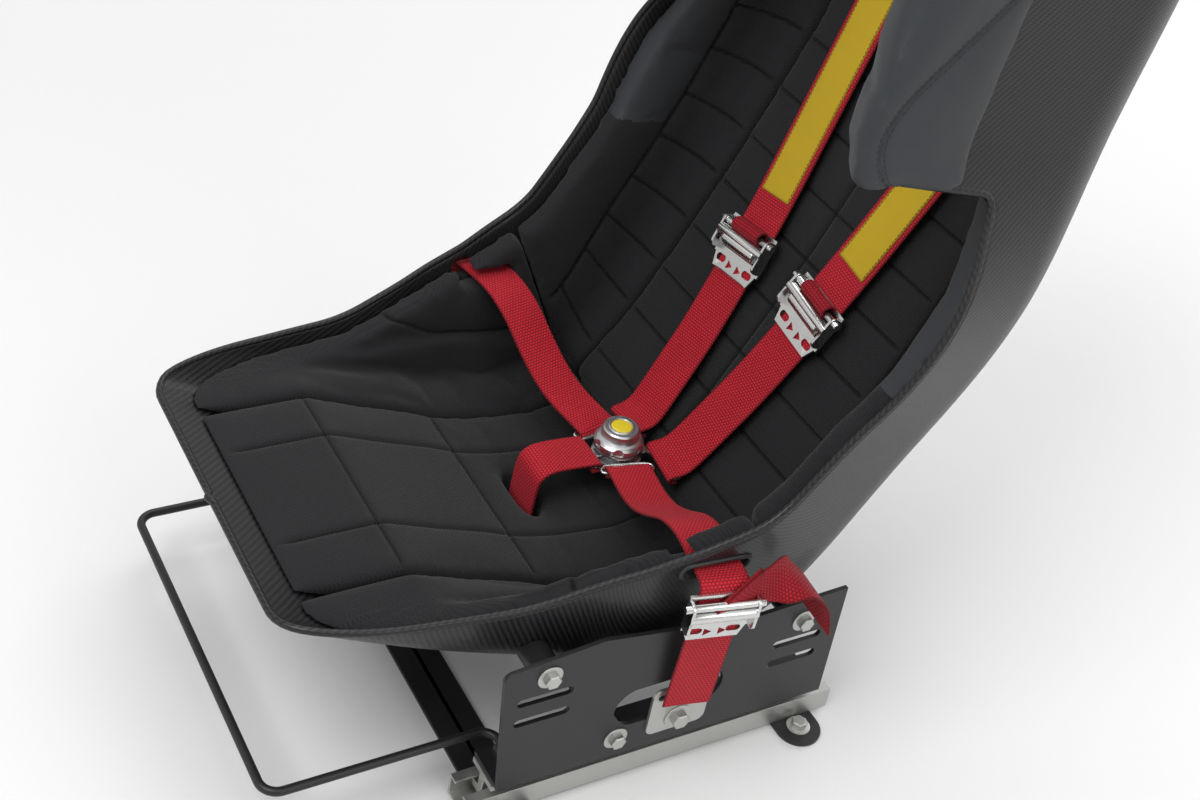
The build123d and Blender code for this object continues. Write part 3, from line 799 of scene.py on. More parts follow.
def move_points(thing, points):
    thing.data.vertices.foreach_set("co", ((points - (0, MIDDLE_Y, 0)) * MM).ravel())
    thing.data.update()


def tree_of(things):
    """A search tree over the faces of several pieces."""
    points, faces = [], []
    for thing in things:
        start = len(points)
        points += [v.co.copy() for v in thing.data.vertices]
        faces += [[start + i for i in p.vertices] for p in thing.data.polygons]
    return BVHTree.FromPolygons(points, faces)


def ramp(values, zero, one):
    """A share that is 0 at one value, 1 at the other, and even between them."""
    return np.clip((values - zero) / (one - zero), 0, 1)


def eased(share):
    """A share from 0 to 1 with soft ends."""
    return share * share * (3 - 2 * share)


def touch(thing, tree, near=4.0, far=11.0):
    """1 for points that rest on the solids of a tree, falling to 0 a little way off."""
    gaps = np.array([(tree.find_nearest(v.co, far * MM)[3] or far * MM) for v in thing.data.vertices]) / MM
    return ramp(gaps, far, near)


def inflate(thing, held, cap):
    """Swell a cover with the cloth solver where it isn't held, by no more than cap millimetres."""
    group = thing.vertex_groups.new(name="held")
    for index, weight in enumerate(held):
        group.add([index], float(weight), "REPLACE")
    cloth = modify(thing, "CLOTH", "swell")
    cloth.settings.use_pressure = True
    cloth.settings.uniform_pressure_force = PRESSURE
    cloth.settings.vertex_group_mass = "held"
    cloth.settings.effector_weights.gravity = 0
    cloth.collision_settings.use_collision = False
    cloth.point_cache.frame_end = FRAMES
    for frame_number in range(1, FRAMES + 1):
        scene.frame_set(frame_number)
    start = rows_of(thing.data.vertices, "co")
    swollen = rows_of(thing.evaluated_get(bpy.context.evaluated_depsgraph_get()).data.vertices, "co")
    move = (swollen - start) / MM
    size = np.linalg.norm(move, axis=1)
    thing.modifiers.clear()
    thing.vertex_groups.clear()
    move *= (cap * np.tanh(size / cap) / np.maximum(size, 1e-9))[:, None]
    thing.data.vertices.foreach_set("co", (start + move * MM).ravel())
    scene.frame_set(1)
    print(thing.name, "rose", round(float(np.percentile(size, 95)), 1), "mm before its cap of", cap)


def groove(distance, width, depth):
    """A sewn channel: sharp at the stitches, rounded at its shoulders."""
    return depth * np.exp(-np.abs(distance) / width)


def nearest(values, lines):
    """The distance to the nearest of some lines."""
    return np.min(np.abs(values[..., None] - np.array(lines)), -1)


def lay(thing, arc, run, sewn):
    """Keep the cloth's own millimetres on the mesh, and how near each point is to a seam."""
    attribute = thing.data.attributes.new("laid", "FLOAT_VECTOR", "POINT")
    attribute.data.foreach_set("vector", np.stack([arc, run, sewn], -1).astype(np.float32).ravel())


def mirrored(thing, name):
    """The right-hand twin of a left-hand piece."""
    twin = copy_of(thing, name)
    twin.data.transform(Matrix.Scale(-1, 4, (1, 0, 0)))
    twin.data.flip_normals()
    return twin


def lighten(thing, resting):
    """Thin the mesh on the side that rests on the shell, where nothing shows."""
    hidden = np.flatnonzero(resting > 0.99)
    group = thing.vertex_groups.new(name="resting")
    group.add(hidden.tolist(), 1.0, "REPLACE")
    modify(thing, "DECIMATE", "thin", ratio=1 - 0.8 * len(hidden) / len(resting), vertex_group=group.name,
           vertex_group_factor=800)
    applied(thing)
    thing.vertex_groups.clear()


pads = [n for n in nodes if "_pad" in n]
print("cushions to make", len(pads))

# %% [markdown]
# The photograph shows the back sewn into two columns of cells about 52 mm tall. The channels run on to the
# side pads as short seams. The squab has one seam down each thigh and one across.

# %% Seams of each cushion
CHANNELS = [run_at_z(z) for z in (181, 228, 272, 318, 366, 412, 462, 512, 612, 664, 716, 768, 820, 872)]
SQUAB_ROWS, SQUAB_COLUMN = (-60, -190), 60.0
THIGH_SEAM, BOLSTER_SEAM, BAND_START = 222.0, 232.0, 400.0


def back_seams(arc, run, points):
    return np.minimum(nearest(run, CHANNELS), np.abs(arc))


def squab_seams(arc, run, points):
    return np.minimum(nearest(points[:, 1], SQUAB_ROWS), np.abs(np.abs(arc) - SQUAB_COLUMN))


def side_seams(arc, run, points):
    """Short seams that run on from the back's channels, then one seam round the bolster."""
    short = np.where(np.abs(arc) < BOLSTER_SEAM, nearest(run, CHANNELS), 99.0)
    return np.minimum(short, np.abs(np.abs(arc) - BOLSTER_SEAM))


def thigh_seams(arc, run, points):
    return np.abs(np.abs(arc) - THIGH_SEAM)


SEAMS = {"squab": squab_seams, "thigh": thigh_seams, "back": back_seams, "torso": side_seams,
         "head": back_seams}
print("channels at", [round(v) for v in CHANNELS])

# %% Knitted cushions
covers = {}
for label, cap in (("squab", 7), ("thigh", 8), ("back", 7), ("torso", 8), ("head", 6)):
    side = "_left" if label in ("thigh", "torso") else ""
    node = f"{label}_pad{side}"
    cover = soft_copy(nodes[node], f"{label}_cover{side}", voxel=5.0, ease=12)
    rest_on = tree_of([nodes[n] for n in ["shell"] + pads if n != node])
    points = drawing_points(cover)
    sewn = np.clip(1.6 - SEAMS[label](*located(points), points) / 4, 0, 1)
    inflate(cover, np.maximum(touch(cover, rest_on), sewn), cap)
    modify(cover, "SUBSURF", "fine", levels=1)
    applied(cover)
    points = drawing_points(cover)
    arc, run = located(points)
    away = SEAMS[label](arc, run, points)
    free = 1 - touch(cover, rest_on, 5, 12)
    # The third number marks the seams, where the knit is painted darker as shade in the groove.
    lay(cover, arc, run, np.clip(1.5 - away / 1.6, 0, 1) * free)
    points -= rows_of(cover.data.vertices, "normal") * (groove(away, 1.9, 3.6) * free)[:, None]
    move_points(cover, points)
    lighten(cover, 1 - free)
    covers[node] = cover
    if side:
        covers[f"{label}_pad_right"] = mirrored(cover, f"{label}_cover_right")
for node, cover in covers.items():
    finish_piece(cover, knit, "seat", node)
    smooth_shaded(cover)
print("cushions", {node: len(cover.data.polygons) for node, cover in covers.items()})

# %% [markdown]
# The torso pads' outer bands are leatherette above the ribs, where the belts rub. It is a second material
# on the same cover, and its border is the seam round the bolster.

# %% Leatherette bands
for name, _ in SIDES:
    cover = covers[f"torso_pad_{name}"]
    cover.data.materials.append(hide.material)
    arc = rows_of(cover.data.attributes["laid"].data, "vector")[:, 0]
    outer_band = (np.abs(arc) > BOLSTER_SEAM) & (drawing_points(cover)[:, 2] > BAND_START)
    for face in cover.data.polygons:
        if all(outer_band[v] for v in face.vertices):
            face.material_index = 1
    print(cover.name, "has", int(outer_band.sum()), "points under leatherette")

# %% [markdown]
# ## Head wings
# Each wing wraps the shell's side in padded leatherette, from the head pad round the front and back over
# the outside. It is made the same way on finer voxels. One seam parts the front wrap from the outer panel.

# %% Wings
SEAM_POINTS = ((212, 772), (190, 746), (160, 720), (124, 690), (92, 664), (78, 640), (78, 620), (84, 605),
               (95, 597), (107, 597))
FLAP_EDGE = np.array(((578, 80), (584, 100), (590, 118), (600, 134), (615, 146), (640, 157), (673, 170),
                      (711, 184), (760, 206), (820, 228), (880, 246), (950, 262)), float)
FLAP_LOW, WING_CAP, SEAM_WIDTH, SEAM_DEPTH = 622.0, 9, 1.7, 3.0
NOSE_MOVE = np.array((24, 12))
CORNER_MOVE = np.array((-11, -16))
LOW_RISE = 6


def quadratic(a, b, c, t):
    """Points of an arc from a to c that b pulls, at shares t of the way."""
    t = t[:, None]
    return (1 - t) ** 2 * a + 2 * t * (1 - t) * b + t * t * c


def curved(points):
    """Arcs through the middles of a broken line's runs."""
    middles = (points[1:] + points[:-1]) / 2
    t = np.linspace(0, 1, 8, endpoint=False)
    arcs = [quadratic(a, b, c, t) for a, b, c in zip(middles, points[1:-1], middles[1:])]
    return np.concatenate([points[:1], *arcs, middles[-1:], points[-1:]])


def seam_distance(points):
    """The distance to the wing's seam in the side view."""
    flat = points[:, 1:]
    best = np.full(len(flat), 1e9)
    for a, b in zip(WING_SEAM, WING_SEAM[1:]):
        t = np.clip(((flat - a) @ (b - a)) / ((b - a) @ (b - a)), 0, 1)
        best = np.minimum(best, np.linalg.norm(flat - a - t[:, None] * (b - a), axis=1))
    return best


def flap_tool():
    """A block outside the shell, behind the flap's edge, to be cut from the wing."""
    arcs = np.arange(60, 640, 2.0)
    rows = []
    for u in np.linspace(5.4, TOP_U, 60):
        line = on_section(u, arcs)
        end = arcs[np.argmax(line[:, 1] < np.interp(line[:, 2], *FLAP_EDGE.T))]
        arc = np.linspace(40, end, 40)
        skin = on_section(u, arc)
        normal = face_up(np.full(len(arc), u), arc)
        normal *= -np.sign(normal[:, :1])
        rows.append(np.concatenate([skin + normal * 0.3, (skin - normal * 60)[::-1]]))
    rows = np.array(rows)
    return outward(mesh_piece("flap_tool", rows.reshape(-1, 3), tube_faces(*rows.shape[:2]), smooth=False))


WING_SEAM = curved(np.array(SEAM_POINTS, float))
trimmed = copy_of(nodes["wing_pad_left"], "trimmed")
modify(trimmed, "WELD", "weld", merge_threshold=0.00001)
cut(trimmed, flap_tool())
wing_cover = soft_copy(trimmed, "wing_cover_left", voxel=4.5, ease=26)
bpy.data.objects.remove(trimmed)
rest_on = tree_of([nodes[n] for n in ("shell", "head_pad", "torso_pad_left")])
points = drawing_points(wing_cover)
outside = rows_of(wing_cover.data.vertices, "normal")[:, 0] > 0.2
sewn = np.where(outside, np.clip(1.5 - seam_distance(points) / 5, 0, 1), 0)
inflate(wing_cover, np.maximum(touch(wing_cover, rest_on), sewn), WING_CAP)
print("wing solved with", len(points), "points")

# %% [markdown]
# The cover's front edge leans outwards and back like the one in the photograph, and its lower corner is
# drawn down to a point. Each move fades from full to nothing between two places.

# %% Shape and sew the wing
points = drawing_points(wing_cover)
nose = eased(ramp(points[:, 1], 205, 95)) * ramp(points[:, 2], 790, 670)
nose *= 1 - 0.3 * ramp(points[:, 2], FLAP_LOW, 652)
nose *= np.clip((228 - points[:, 0]) / 60, 0, 1.2)
points[:, :2] += nose[:, None] * NOSE_MOVE
low = eased(ramp(points[:, 2], FLAP_LOW, 582))
corner = low * ramp(points[:, 1], 170, 110)
rise = low * ramp(points[:, 1], 150, 100)
points[:, :2] += corner[:, None] * CORNER_MOVE
points[:, 2] += rise * LOW_RISE
move_points(wing_cover, points)
modify(wing_cover, "SMOOTH", "even", factor=0.5, iterations=9)
modify(wing_cover, "SUBSURF", "fine", levels=1)
applied(wing_cover)
points = drawing_points(wing_cover)
normals = rows_of(wing_cover.data.vertices, "normal")
outside = ramp(normals[:, 0], 0.1, 0.4)
points -= normals * (outside * groove(seam_distance(points), SEAM_WIDTH, SEAM_DEPTH))[:, None]
move_points(wing_cover, points)
lighten(wing_cover, touch(wing_cover, rest_on, 2, 6))
for side, cover in (("left", wing_cover), ("right", mirrored(wing_cover, "wing_cover_right"))):
    finish_piece(cover, hide, "seat", f"wing_pad_{side}")
    smooth_shaded(cover)
print("wing", len(wing_cover.data.polygons), "faces from", points.min(0).round(), "to", points.max(0).round())

# %% [markdown]
# ## Stitches
# A seam shows as a row of short threads. Each is a small capsule, laid on the surface where a ray from
# outside meets the cover, so that the row follows every dip of the padding.


# %% Stitch builder
def threads(name, starts, ends, radius, finish):
    """Many short threads as one piece: each is a bar of six sides with pointed ends."""
    points, faces, laid = [], [], []
    turns = np.linspace(0, 2 * pi, 6, endpoint=False)
    profile = ((0.0, 0.45), (0.14, 1.0), (0.86, 1.0), (1.0, 0.45))
    for a, b in zip(starts, ends):
        length = np.linalg.norm(b - a)
        if length < 0.3:
            continue
        way = (b - a) / length
        one, other = square_to(way)
        faces += [[len(points) + k for k in face] for face in tube_faces(len(profile), len(turns))]
        for share, size in profile:
            for t in turns:
                points.append(a + way * length * share + radius * size * (cos(t) * one + sin(t) * other))
                laid.append((t * radius, length * share))
    return finish_piece(outward(mesh_piece(name, points, faces, laid)), finish, "seat")


def along_line(line, runs):
    """The points of a line at distances along it."""
    run = travelled(line)
    return np.stack([np.interp(runs, run, column) for column in line.T], -1)


def dashes(line, stitch, gap):
    """The two ends of each stitch along a line of points."""
    begin = np.arange(gap, travelled(line)[-1] - stitch, stitch + gap)
    return along_line(line, begin), along_line(line, begin + stitch)


def resampled(line, pitch):
    """Evenly spaced points of a line, both ends included."""
    length = travelled(line)[-1]
    return along_line(line, np.linspace(0, length, max(int(round(length / pitch)) + 1, 3)))


def on_cover(thing, points, ray):
    """Where rays meet a piece, with the surface's normal: points in the drawing's millimetres."""
    tree = tree_of([thing])
    found = []
    for point in points:
        spot, normal, _, _ = tree.ray_cast(place(*point), Vector(ray))
        if spot:
            found.append((np.array(spot) / MM + (0, MIDDLE_Y, 0), np.array(normal)))
    return found


seam_line = resampled(WING_SEAM, 2.0)
ahead = unit(np.gradient(seam_line, axis=0))
for label, offset in (("front", -3.2), ("rear", 3.2)):
    beside = seam_line + np.stack([-ahead[:, 1], ahead[:, 0]], -1) * offset
    hits = on_cover(wing_cover, [(320, y, z) for y, z in beside], (-1, 0, 0))
    line = np.array([spot + normal * 0.12 for spot, normal in hits])
    keep = np.concatenate([[True], np.linalg.norm(np.diff(line, axis=0), axis=1) < 12])
    starts, ends = dashes(line[keep], 3.0, 1.5)
    for name, flip in SIDES:
        threads(f"wing_stitches_{label}_{name}", starts * flip, ends * flip, 0.45, black_thread)
print("wing seams sewn", len(starts), "stitches a row")

# %% [markdown]
# ## Straps
# A strap is a flat band that follows a smooth line. The line comes from the route's points as a quadratic
# B-spline, which bends the way webbing does, without corners. The band has rounded edges and a slight
# crown.

# %% Strap builder
WEB, SHOULDER_WEB, LAP_WEB = 2.2, 50.0, 44.0


def smooth_line(points, pitch):
    """Evenly spaced points of a quadratic B-spline over control points."""
    points = np.asarray(points, float)
    joints = np.concatenate([points[:1], (points[1:-2] + points[2:-1]) / 2, points[-1:]])
    arcs = []
    for k, b in enumerate(points[1:-1]):
        t = np.linspace(0, 1, 24, endpoint=k == len(points) - 3)
        arcs.append(quadratic(joints[k], b, joints[k + 1], t))
    return resampled(np.concatenate(arcs), pitch)


def band(name, line, across, width, finish=red_web, replaced=(), thick=WEB, crown=0.4, lift=0.0, facing=None):
    """A strap along a line. Its width lies across, squared to the line unless the way its face looks is given.

    A diagonal fold gives both, with across longer than one where the fold cuts the strap on the slant."""
    ahead = unit(np.gradient(line, axis=0))
    side = np.broadcast_to(np.asarray(across, float), line.shape)
    if facing is None:
        side = squared(side, ahead)
        facing = np.cross(ahead, side)
    facing = np.broadcast_to(facing, line.shape)
    half, edge = width / 2, thick / 2
    flat = np.linspace(edge - half, half - edge, 25)
    arch = crown * (1 - (flat / half) ** 2)
    turns = np.linspace(0, pi, 5)[1:-1]
    top = np.stack([flat, arch + edge], -1)
    bottom = np.stack([flat, arch - edge], -1)
    rounding = np.stack([half - edge + edge * np.sin(turns), edge * np.cos(turns)], -1)
    profile = np.concatenate([top, rounding, bottom[::-1], -rounding]) + (0, lift)
    points = line[:, None] + profile[None, :, :1] * side[:, None] + profile[None, :, 1:] * facing[:, None]
    spot = np.tile(profile[:, 0], len(line))
    laid = np.stack([spot, np.repeat(travelled(line), len(profile)), np.abs(spot) / half], -1)
    thing = mesh_piece(name, points.reshape(-1, 3), tube_faces(len(line), len(profile)), laid)
    return finish_piece(outward(thing), finish, "seat", *replaced)


SHOULDER_ROUTE = ((441, 452), (441, 640), (425, 661), (355, 676), (341, 640), (332, 600), (305, 537),
                  (273, 461), (243, 391), (226.3, 358), (216.2, 338), (200, 306), (176, 262), (150, 222),
                  (122, 183))
TONGUE_FOLD = ((129, 190), (119, 185.2), (111.5, 184.4), (106.6, 183.6), (106.0, 180.3), (107.5, 177.4),
               (115, 176.8))
LAP_ROUTE = ((38, 177.6), (33, 177.4), (29.5, 178.2), (28.3, 181), (30, 184.2), (38, 185.2), (84, 189),
             (120, 206), (172, 250), (236, 251.5), (250, 251.5), (251.8, 240), (249.5, 216), (241, 98))
CROTCH_ROUTE = ((42, 177.2), (47, 176.8), (51.2, 177.6), (52.8, 181), (50.5, 184.8), (42, 185.6), (12, 188),
                (-6, 187), (-16, 174), (-16, 54.6), (-39, 54.6), (-39, 90))
SHOULDER_X, SHOULDER_END_X, LAP_TURN, BUCKLE_Y = 88.0, 33.0, radians(11.5), 80.0
ADJUSTER_ABOVE, ADJUSTER_BELOW = 9, 10
print("strap routes of", len(SHOULDER_ROUTE), len(LAP_ROUTE), len(CROTCH_ROUTE), "points")

# %% [markdown]
# A shoulder strap lies in a plane that leans inwards from the slot to the buckle. Its upper half ends in a
# roll round the adjuster's upper bar, and its lower half folds round the buckle's tongue.


# %% Shoulder straps
plane_start = np.array((SHOULDER_X, *SHOULDER_ROUTE[5]))
chord = np.array((SHOULDER_END_X, *SHOULDER_ROUTE[-1])) - plane_start
shoulder_across = unit(np.cross(chord, (0, chord[2], -chord[1])))
plane_out = np.cross(shoulder_across, unit(chord))


def lay_point(y, z):
    """A point of the side view laid on the strap's leaning plane."""
    dy, dz = y - plane_start[1], z - plane_start[2]
    part = (dy * chord[1] + dz * chord[2]) / (chord[1] ** 2 + chord[2] ** 2)
    return plane_start + part * chord + (dy * plane_out[1] + dz * plane_out[2]) * plane_out


route = np.array([lay_point(y, z) for y, z in SHOULDER_ROUTE])
adjuster_spot = (route[ADJUSTER_ABOVE] + route[ADJUSTER_BELOW]) / 2
adjuster_up = unit(route[ADJUSTER_ABOVE] - route[ADJUSTER_BELOW])
adjuster_out = np.cross(-shoulder_across, adjuster_up)


def at_adjuster(pairs):
    """Points given as millimetres up the strap and out of it, from the adjuster's middle."""
    return np.array([adjuster_spot + a * adjuster_up + b * adjuster_out for a, b in pairs])


ROLL = ((15, 2.4), (18.6, 3.0), (20.0, 6.5), (19.2, 11.8), (14.6, 15.2), (9.6, 13.4), (7.9, 9.0), (9.2, 4.6),
        (12.5, 3.4))
ROLL_WIDTH, UPPER_BAR = 40.0, 14.5
upper_line = smooth_line(route[:ADJUSTER_BELOW], 3.0)
above = (upper_line - adjuster_spot) @ adjuster_up > UPPER_BAR + 1.5
upper_line = np.concatenate([upper_line[above], at_adjuster([(UPPER_BAR, 0.2)])])
roll_line = smooth_line(at_adjuster(ROLL), 1.2)
lower_line = smooth_line([*route[ADJUSTER_BELOW:-1], *(lay_point(y, z) for y, z in TONGUE_FOLD)], 2.0)
for name, flip in SIDES:
    across = shoulder_across * flip
    band(f"shoulder_webbing_{name}", upper_line * flip, across, SHOULDER_WEB,
         replaced=[f"shoulder_strap_{name}"])
    # The roll uses the darker copy of the red webbing: painted shade.
    band(f"shoulder_roll_{name}", roll_line * flip, across, ROLL_WIDTH, shaded_red_web)
    band(f"chest_webbing_{name}", lower_line * flip, across, SHOULDER_WEB, replaced=[f"chest_strap_{name}"])
print("shoulder straps", len(upper_line), len(lower_line), "rows")

# %% [markdown]
# The lap straps leave the buckle sideways, climb over the thigh pads and go out through the shell's slots,
# where they turn down to their adjusters. A loose tail hangs behind each adjuster. The crotch strap dives
# into its slot and folds round the bar below.

# %% Lap and crotch straps
lap_way = np.array((cos(LAP_TURN), -sin(LAP_TURN), 0))
lap_across = np.cross(lap_way, (0, 0, 1))


def along_lap(x, z):
    """A point of the lap strap's route, by its way from the buckle and then by its distance from the middle."""
    return (0, BUCKLE_Y, z) + lap_way * (x / cos(LAP_TURN) if x > 150 else x)


lap_line = smooth_line([along_lap(x, z) for x, z in LAP_ROUTE], 2.5)
TAIL_HALF, TAIL_FOLD = 20.0, np.array((257.0, 36.0, 246.0))
TAIL_RISE = [(254.0, 36, 214), (254.0, 36, 218), (254.0, 36, 222)]
TAIL_WAY = ((260, 66, 248), (261, 80, 250), (262, 96, 246), (263, 112, 233), (264, 123, 213), (263, 128, 190))
FACE_OUT = np.array((1.0, 0, 0))
fan = np.linspace(0, 1, 9)
rise_line = np.array(TAIL_RISE + [TAIL_FOLD + (0, 0, TAIL_HALF * (t - 1)) for t in fan])
rise_across = np.array([(0, 1.0, 0)] * len(TAIL_RISE) + [(0, 1.0, t) for t in fan])
turn_line = [TAIL_FOLD + (2.6, TAIL_HALF * t, 0) for t in fan]
drop_line = smooth_line([turn_line[-1], *TAIL_WAY], 2.5)[1:]
twist = eased(ramp(travelled(drop_line), 0, 48))[:, None]
turn_line = np.concatenate([turn_line, drop_line])
ahead = unit(np.gradient(turn_line, axis=0))
drop_across = squared((1 - twist) * (0, 0, 1.0) + twist * (-1.0, 0, 0.1), ahead[len(fan):])
turn_across = np.concatenate([[(0, 1 - t, 1) for t in fan], drop_across])
turn_face = unit(np.cross(ahead, turn_across))
turn_face[:len(fan)] = FACE_OUT
for name, flip in SIDES:
    band(f"lap_webbing_{name}", lap_line * flip, lap_across * flip, LAP_WEB, replaced=[f"lap_strap_{name}"])
    # Both tail pieces use the darker copy of the red webbing: painted shade.
    band(f"lap_tail_{name}", rise_line * flip, rise_across * flip, 2 * TAIL_HALF, shaded_red_web, crown=0,
         facing=FACE_OUT * flip)
    band(f"lap_tail_end_{name}", turn_line * flip, turn_across * flip, 2 * TAIL_HALF, shaded_red_web, crown=0,
         facing=turn_face * flip)
crotch_line = smooth_line([(0, y, z) for y, z in CROTCH_ROUTE], 2.5)
band("crotch_webbing", crotch_line, (1, 0, 0), LAP_WEB, replaced=["crotch_strap"])
print("lap straps", len(lap_line), "crotch strap", len(crotch_line), "rows")

# %% [markdown]
# The shoulder straps carry bare yellow patches, sewn on from the slot to a hand's breadth above the
# adjuster. The red selvedge shows on both sides of each patch, and a row of red stitches holds each edge.

# %% Patches and their stitches
PATCH_WIDTH, PATCH_THICK = 40.0, 0.7
held = (upper_line[:, 2] > 395) & (upper_line[:, 1] < 352) & (upper_line[:, 2] < 640)
patch_line = upper_line[held]
patch_face = unit(np.cross(np.gradient(patch_line, axis=0), shoulder_across))
patch_sign = np.sign(patch_face[0] @ adjuster_out)
for name, flip in SIDES:
    band(f"shoulder_patch_{name}", patch_line * flip, shoulder_across * flip, PATCH_WIDTH, patch_cloth,
         thick=PATCH_THICK, crown=0.35, lift=(WEB / 2 + 0.55) * flip[0] * patch_sign)
    for label, edge in (("inner", -1), ("outer", 1)):
        beside = shoulder_across * edge * (PATCH_WIDTH / 2 - 1.6)
        starts, ends = dashes(patch_line + beside + patch_face * patch_sign * (WEB / 2 + 0.95), 2.6, 1.4)
        threads(f"patch_stitches_{label}_{name}", starts * flip, ends * flip, 0.35, red_thread)
print("patches of", round(float(travelled(patch_line)[-1])), "mm")

# %% [markdown]
# ## Turned parts
# Bolt heads, washers and the knob's disc are turned: a profile of radius and height is spun round an axis.
# A hex head is the same with six sides and a chamfer.


# %% Lathe and bolts
def turned(name, profile, spot, axis, finish, body="seat", sides=40):
    """A profile of (radius, height) pairs spun round an axis from a spot."""
    axis = unit(np.asarray(axis, float))
    one, other = square_to(axis)
    turns = np.linspace(0, 2 * pi, sides, endpoint=False)
    ring = np.cos(turns)[:, None] * one + np.sin(turns)[:, None] * other
    points = np.concatenate([spot + r * ring + h * axis for r, h in profile])
    thing = outward(mesh_piece(name, points, tube_faces(len(profile), sides), points, smooth=sides > 8))
    modify(thing, "BEVEL", "edges", width=0.25 * MM, segments=2, limit_method="ANGLE", angle_limit=radians(28))
    return finish_piece(thing, finish, body)


def bolt(name, spot, axis, across=13.0, body="seat"):
    """A hex head on a washer, by its width across the flats."""
    corner, bore, rim = across / 2 / cos(pi / 6), across * 0.45, across * 0.88
    base, side, top = WASHER, WASHER + across * 0.44, WASHER + across * 0.52
    turned(f"{name}_washer", [(bore, 0), (rim, 0), (rim, base), (bore, base)], spot, axis, zinc, body)
    turned(f"{name}_head", [(corner, base), (corner, side), (corner * 0.88, top), (corner * 0.3, top)],
           spot, axis, zinc, body, sides=6)


WASHER, PLATE_FACE, RAIL_Y, RUNNER_X, FLOOR_HOLE_X = 1.4, 230.0, 30.0, 200.0, 236.0
for name, side in (("left", 1), ("right", -1)):
    outwards = (side, 0, 0)
    for label, y, z in (("front", -108, 172), ("rear", 148, 150)):
        bolt(f"seat_bolt_{label}_{name}", (side * PLATE_FACE, y, z), outwards)
    bolt(f"bar_bolt_{name}", (side * PLATE_FACE, -27.5, 66), outwards)
    bolt(f"lap_anchor_bolt_{name}", (side * (PLATE_FACE + 3), 32, 74), outwards, 15.0)
    for label, end in (("front", -1), ("rear", 1)):
        bolt(f"runner_bolt_{label}_{name}", (side * RUNNER_X, RAIL_Y + end * 120, 46), (0, 0, 1), 10.0)
        bolt(f"floor_bolt_{label}_{name}", (side * FLOOR_HOLE_X, RAIL_Y + end * 150, 4), (0, 0, 1), body="base")

# %% [markdown]
# ## Metalwork
# The rails, brackets, tongues and adjusters keep their CAD meshes. A weld joins the imported triangles, and a
# small bevel rounds each edge so that it catches light.


# %% CAD nodes with better finishes
FITTINGS = ("shoulder_adjuster", "lap_adjuster", "shoulder_tongue", "lap_tongue", "crotch_tongue")
DRESSED = ((("side_bracket", "cross_member", "crotch_bar", "slide_lever"), paint, 0.8, 2),
           (("rail", "shoulder_anchor", "lap_anchor"), zinc, 0.6, 2),
           (("buckle",), alloy, 0.6, 3),
           (FITTINGS, steel, 0.35, 2))
for starts, finish, bevel, segments in DRESSED:
    dressed = [node for node in nodes if node.startswith(starts)]
    for node in dressed:
        thing = nodes[node]
        for held in thing.material_slots:
            held.material = finish.material
        modify(thing, "WELD", "weld", merge_threshold=0.00001)
        modify(thing, "BEVEL", "edges", width=bevel * MM, segments=segments, limit_method="ANGLE",
               angle_limit=radians(35), harden_normals=False)
    print(finish.material.name, "on", len(dressed), "nodes")

# %% [markdown]
# The knob carries a blank yellow disc in a shallow bright rim. The lap tongues end in wire rings that hold
# the webbing, and the shell's slots have moulded grommets, whose line comes from rays cast through each
# slot.

# %% Knob disc, rings and grommets
KNOB_SPOT = (0, BUCKLE_Y, 206.5)
DISC = ((10.0, 0), (9.8, 0.3), (8.6, 0.6), (5, 0.85), (0.4, 0.9))
DISC_RIM = ((10.2, 0), (10.4, 0.9), (11.2, 1.0), (12.4, 0.6), (12.8, 0), (10.2, -0.3))
SLIDE_BAR = ((4.4, 0), (6.2, 0.8), (7.0, 2.2), (7.0, 45.8), (6.2, 47.2), (4.4, 48))
RING_LONG, RING_WIDE, RING_REACH, RING_Z = 25.5, 6.4, 31, 181.2
RAY_START = 140
turned("knob_disc", DISC, KNOB_SPOT, (0, 0, 1), disc_yellow, "knob", 48)
turned("knob_rim", DISC_RIM, KNOB_SPOT, (0, 0, 1), alloy, "knob", 48)


def oblong(size, wave):
    """A wave squared up a little, which makes a rounded oblong of a circle."""
    return (size * np.sign(wave) * np.abs(wave) ** 0.6)[:, None]


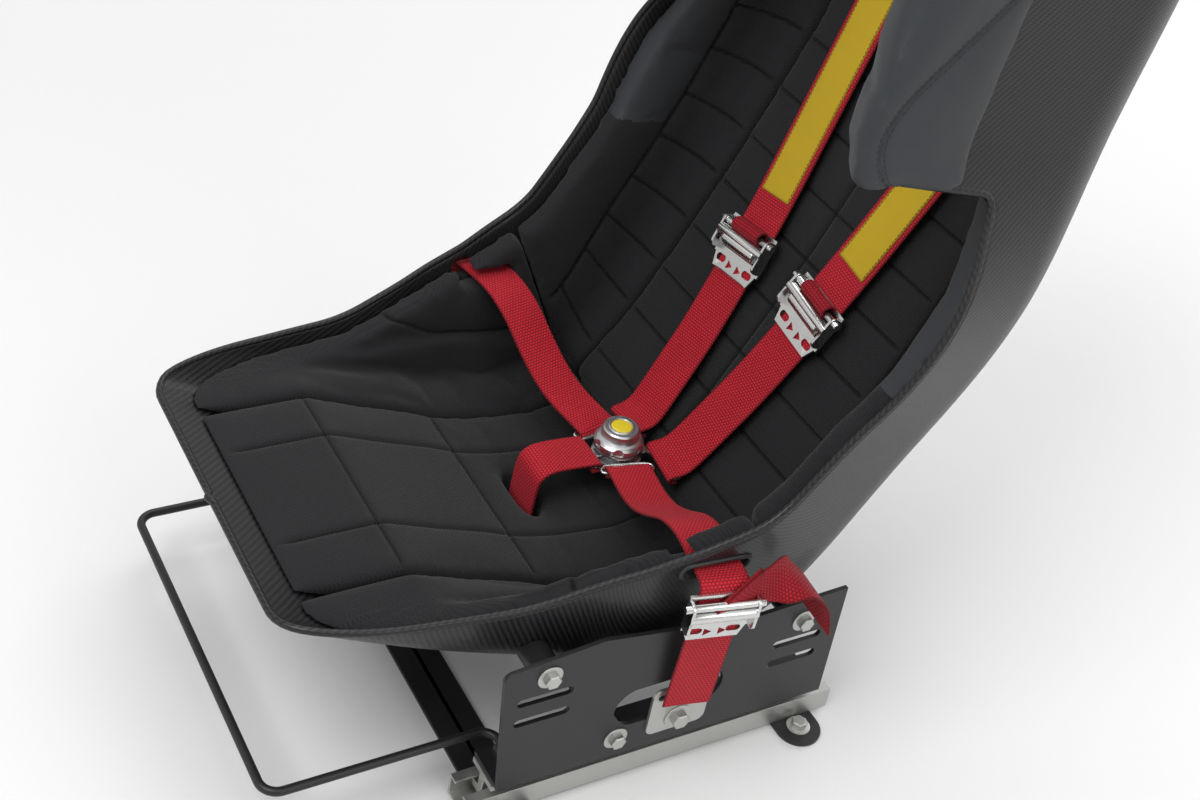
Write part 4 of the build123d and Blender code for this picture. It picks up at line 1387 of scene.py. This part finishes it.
turns = np.linspace(0, 2 * pi, 48, endpoint=False)
ring_line = (0, BUCKLE_Y, RING_Z) + lap_way * RING_REACH + oblong(RING_LONG, np.cos(turns)) * lap_across
ring_line += oblong(RING_WIDE, np.sin(turns)) * (lap_way + (0, 0, 0.05))
bar_spot = at_adjuster([(-3.2, 7.8)])[0] - shoulder_across * 24
for name, flip in SIDES:
    tube(f"lap_ring_{name}", ring_line * flip, 1.5, 12, steel)
    turned(f"slide_bar_{name}", SLIDE_BAR, bar_spot * flip, shoulder_across * flip, steel, sides=32)
for slot in slots:
    way = slot.axes[2]
    outwards = -way if slot.name == "crotch" else way * np.sign(way @ (slot.spot - (0, 200, 330)))
    starts = slot.ring(1, 8) + outwards * RAY_START
    hits = on_cover(shell_skin, starts, -outwards)
    if len(hits) > len(starts) * 0.8:
        line = np.array([spot + normal * 0.3 for spot, normal in hits])
        tube(f"{slot.name}_grommet", line, 2.2, 10, moulding)
    print(slot.name, "grommet points", len(hits))

# %% [markdown]
# ## Floor
# A pale floor carries the seat's shadow. Away from the seat it fades to plain white for camera, mirror and
# glass rays alone, so that it meets the white background without a line.

# %% Floor
floor_mesh = bpy.data.meshes.new("studio_floor")
floor_mesh.from_pydata([(-30, -30, 0), (30, -30, 0), (30, 30, 0), (-30, 30, 0)], [], [(0, 1, 2, 3)])
studio_floor = bpy.data.objects.new("studio_floor", floor_mesh)
scene.collection.objects.link(studio_floor)
pale = Finish("pale_floor", Base_Color=(0.80, 0.80, 0.80, 1), Roughness=0.7)
camera_ray, mirror_ray, glass_ray = [pale.add("LightPath", {}, {}, i) for i in (0, 3, 6)]
far_off = pale.add("VectorMath", {"operation": "LENGTH"}, {0: pale.spot()}, 1)
white = pale.add("Emission", {}, {"Color": (1, 1, 1), "Strength": 1.0})
fade = ((far_off - 0.8) / 1.6).most(0).least(1) * (camera_ray.most(glass_ray) + mirror_ray * 0.5).least(1)
lit = Wire(pale.tree, pale.shader.outputs[0])
faded = pale.add("MixShader", {}, {0: fade, 1: lit, 2: white})
pale.tree.links.new(faded.socket, pale.tree.nodes["Material Output"].inputs["Surface"])
floor_mesh.materials.append(pale.material)
studio_floor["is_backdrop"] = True
print("floor nodes", len(pale.tree.nodes))

# %% [markdown]
# ## Sizes
# Both boxes, of the CAD solids and of the dressed seat, are printed. The dressed seat has to
# fill the same box as its CAD solids.

# %% Finish
made_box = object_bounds()
for label, box in (("cad", cad_box), ("scene", made_box)):
    print(label, [tuple(round(c, 4) for c in corner) for corner in box])
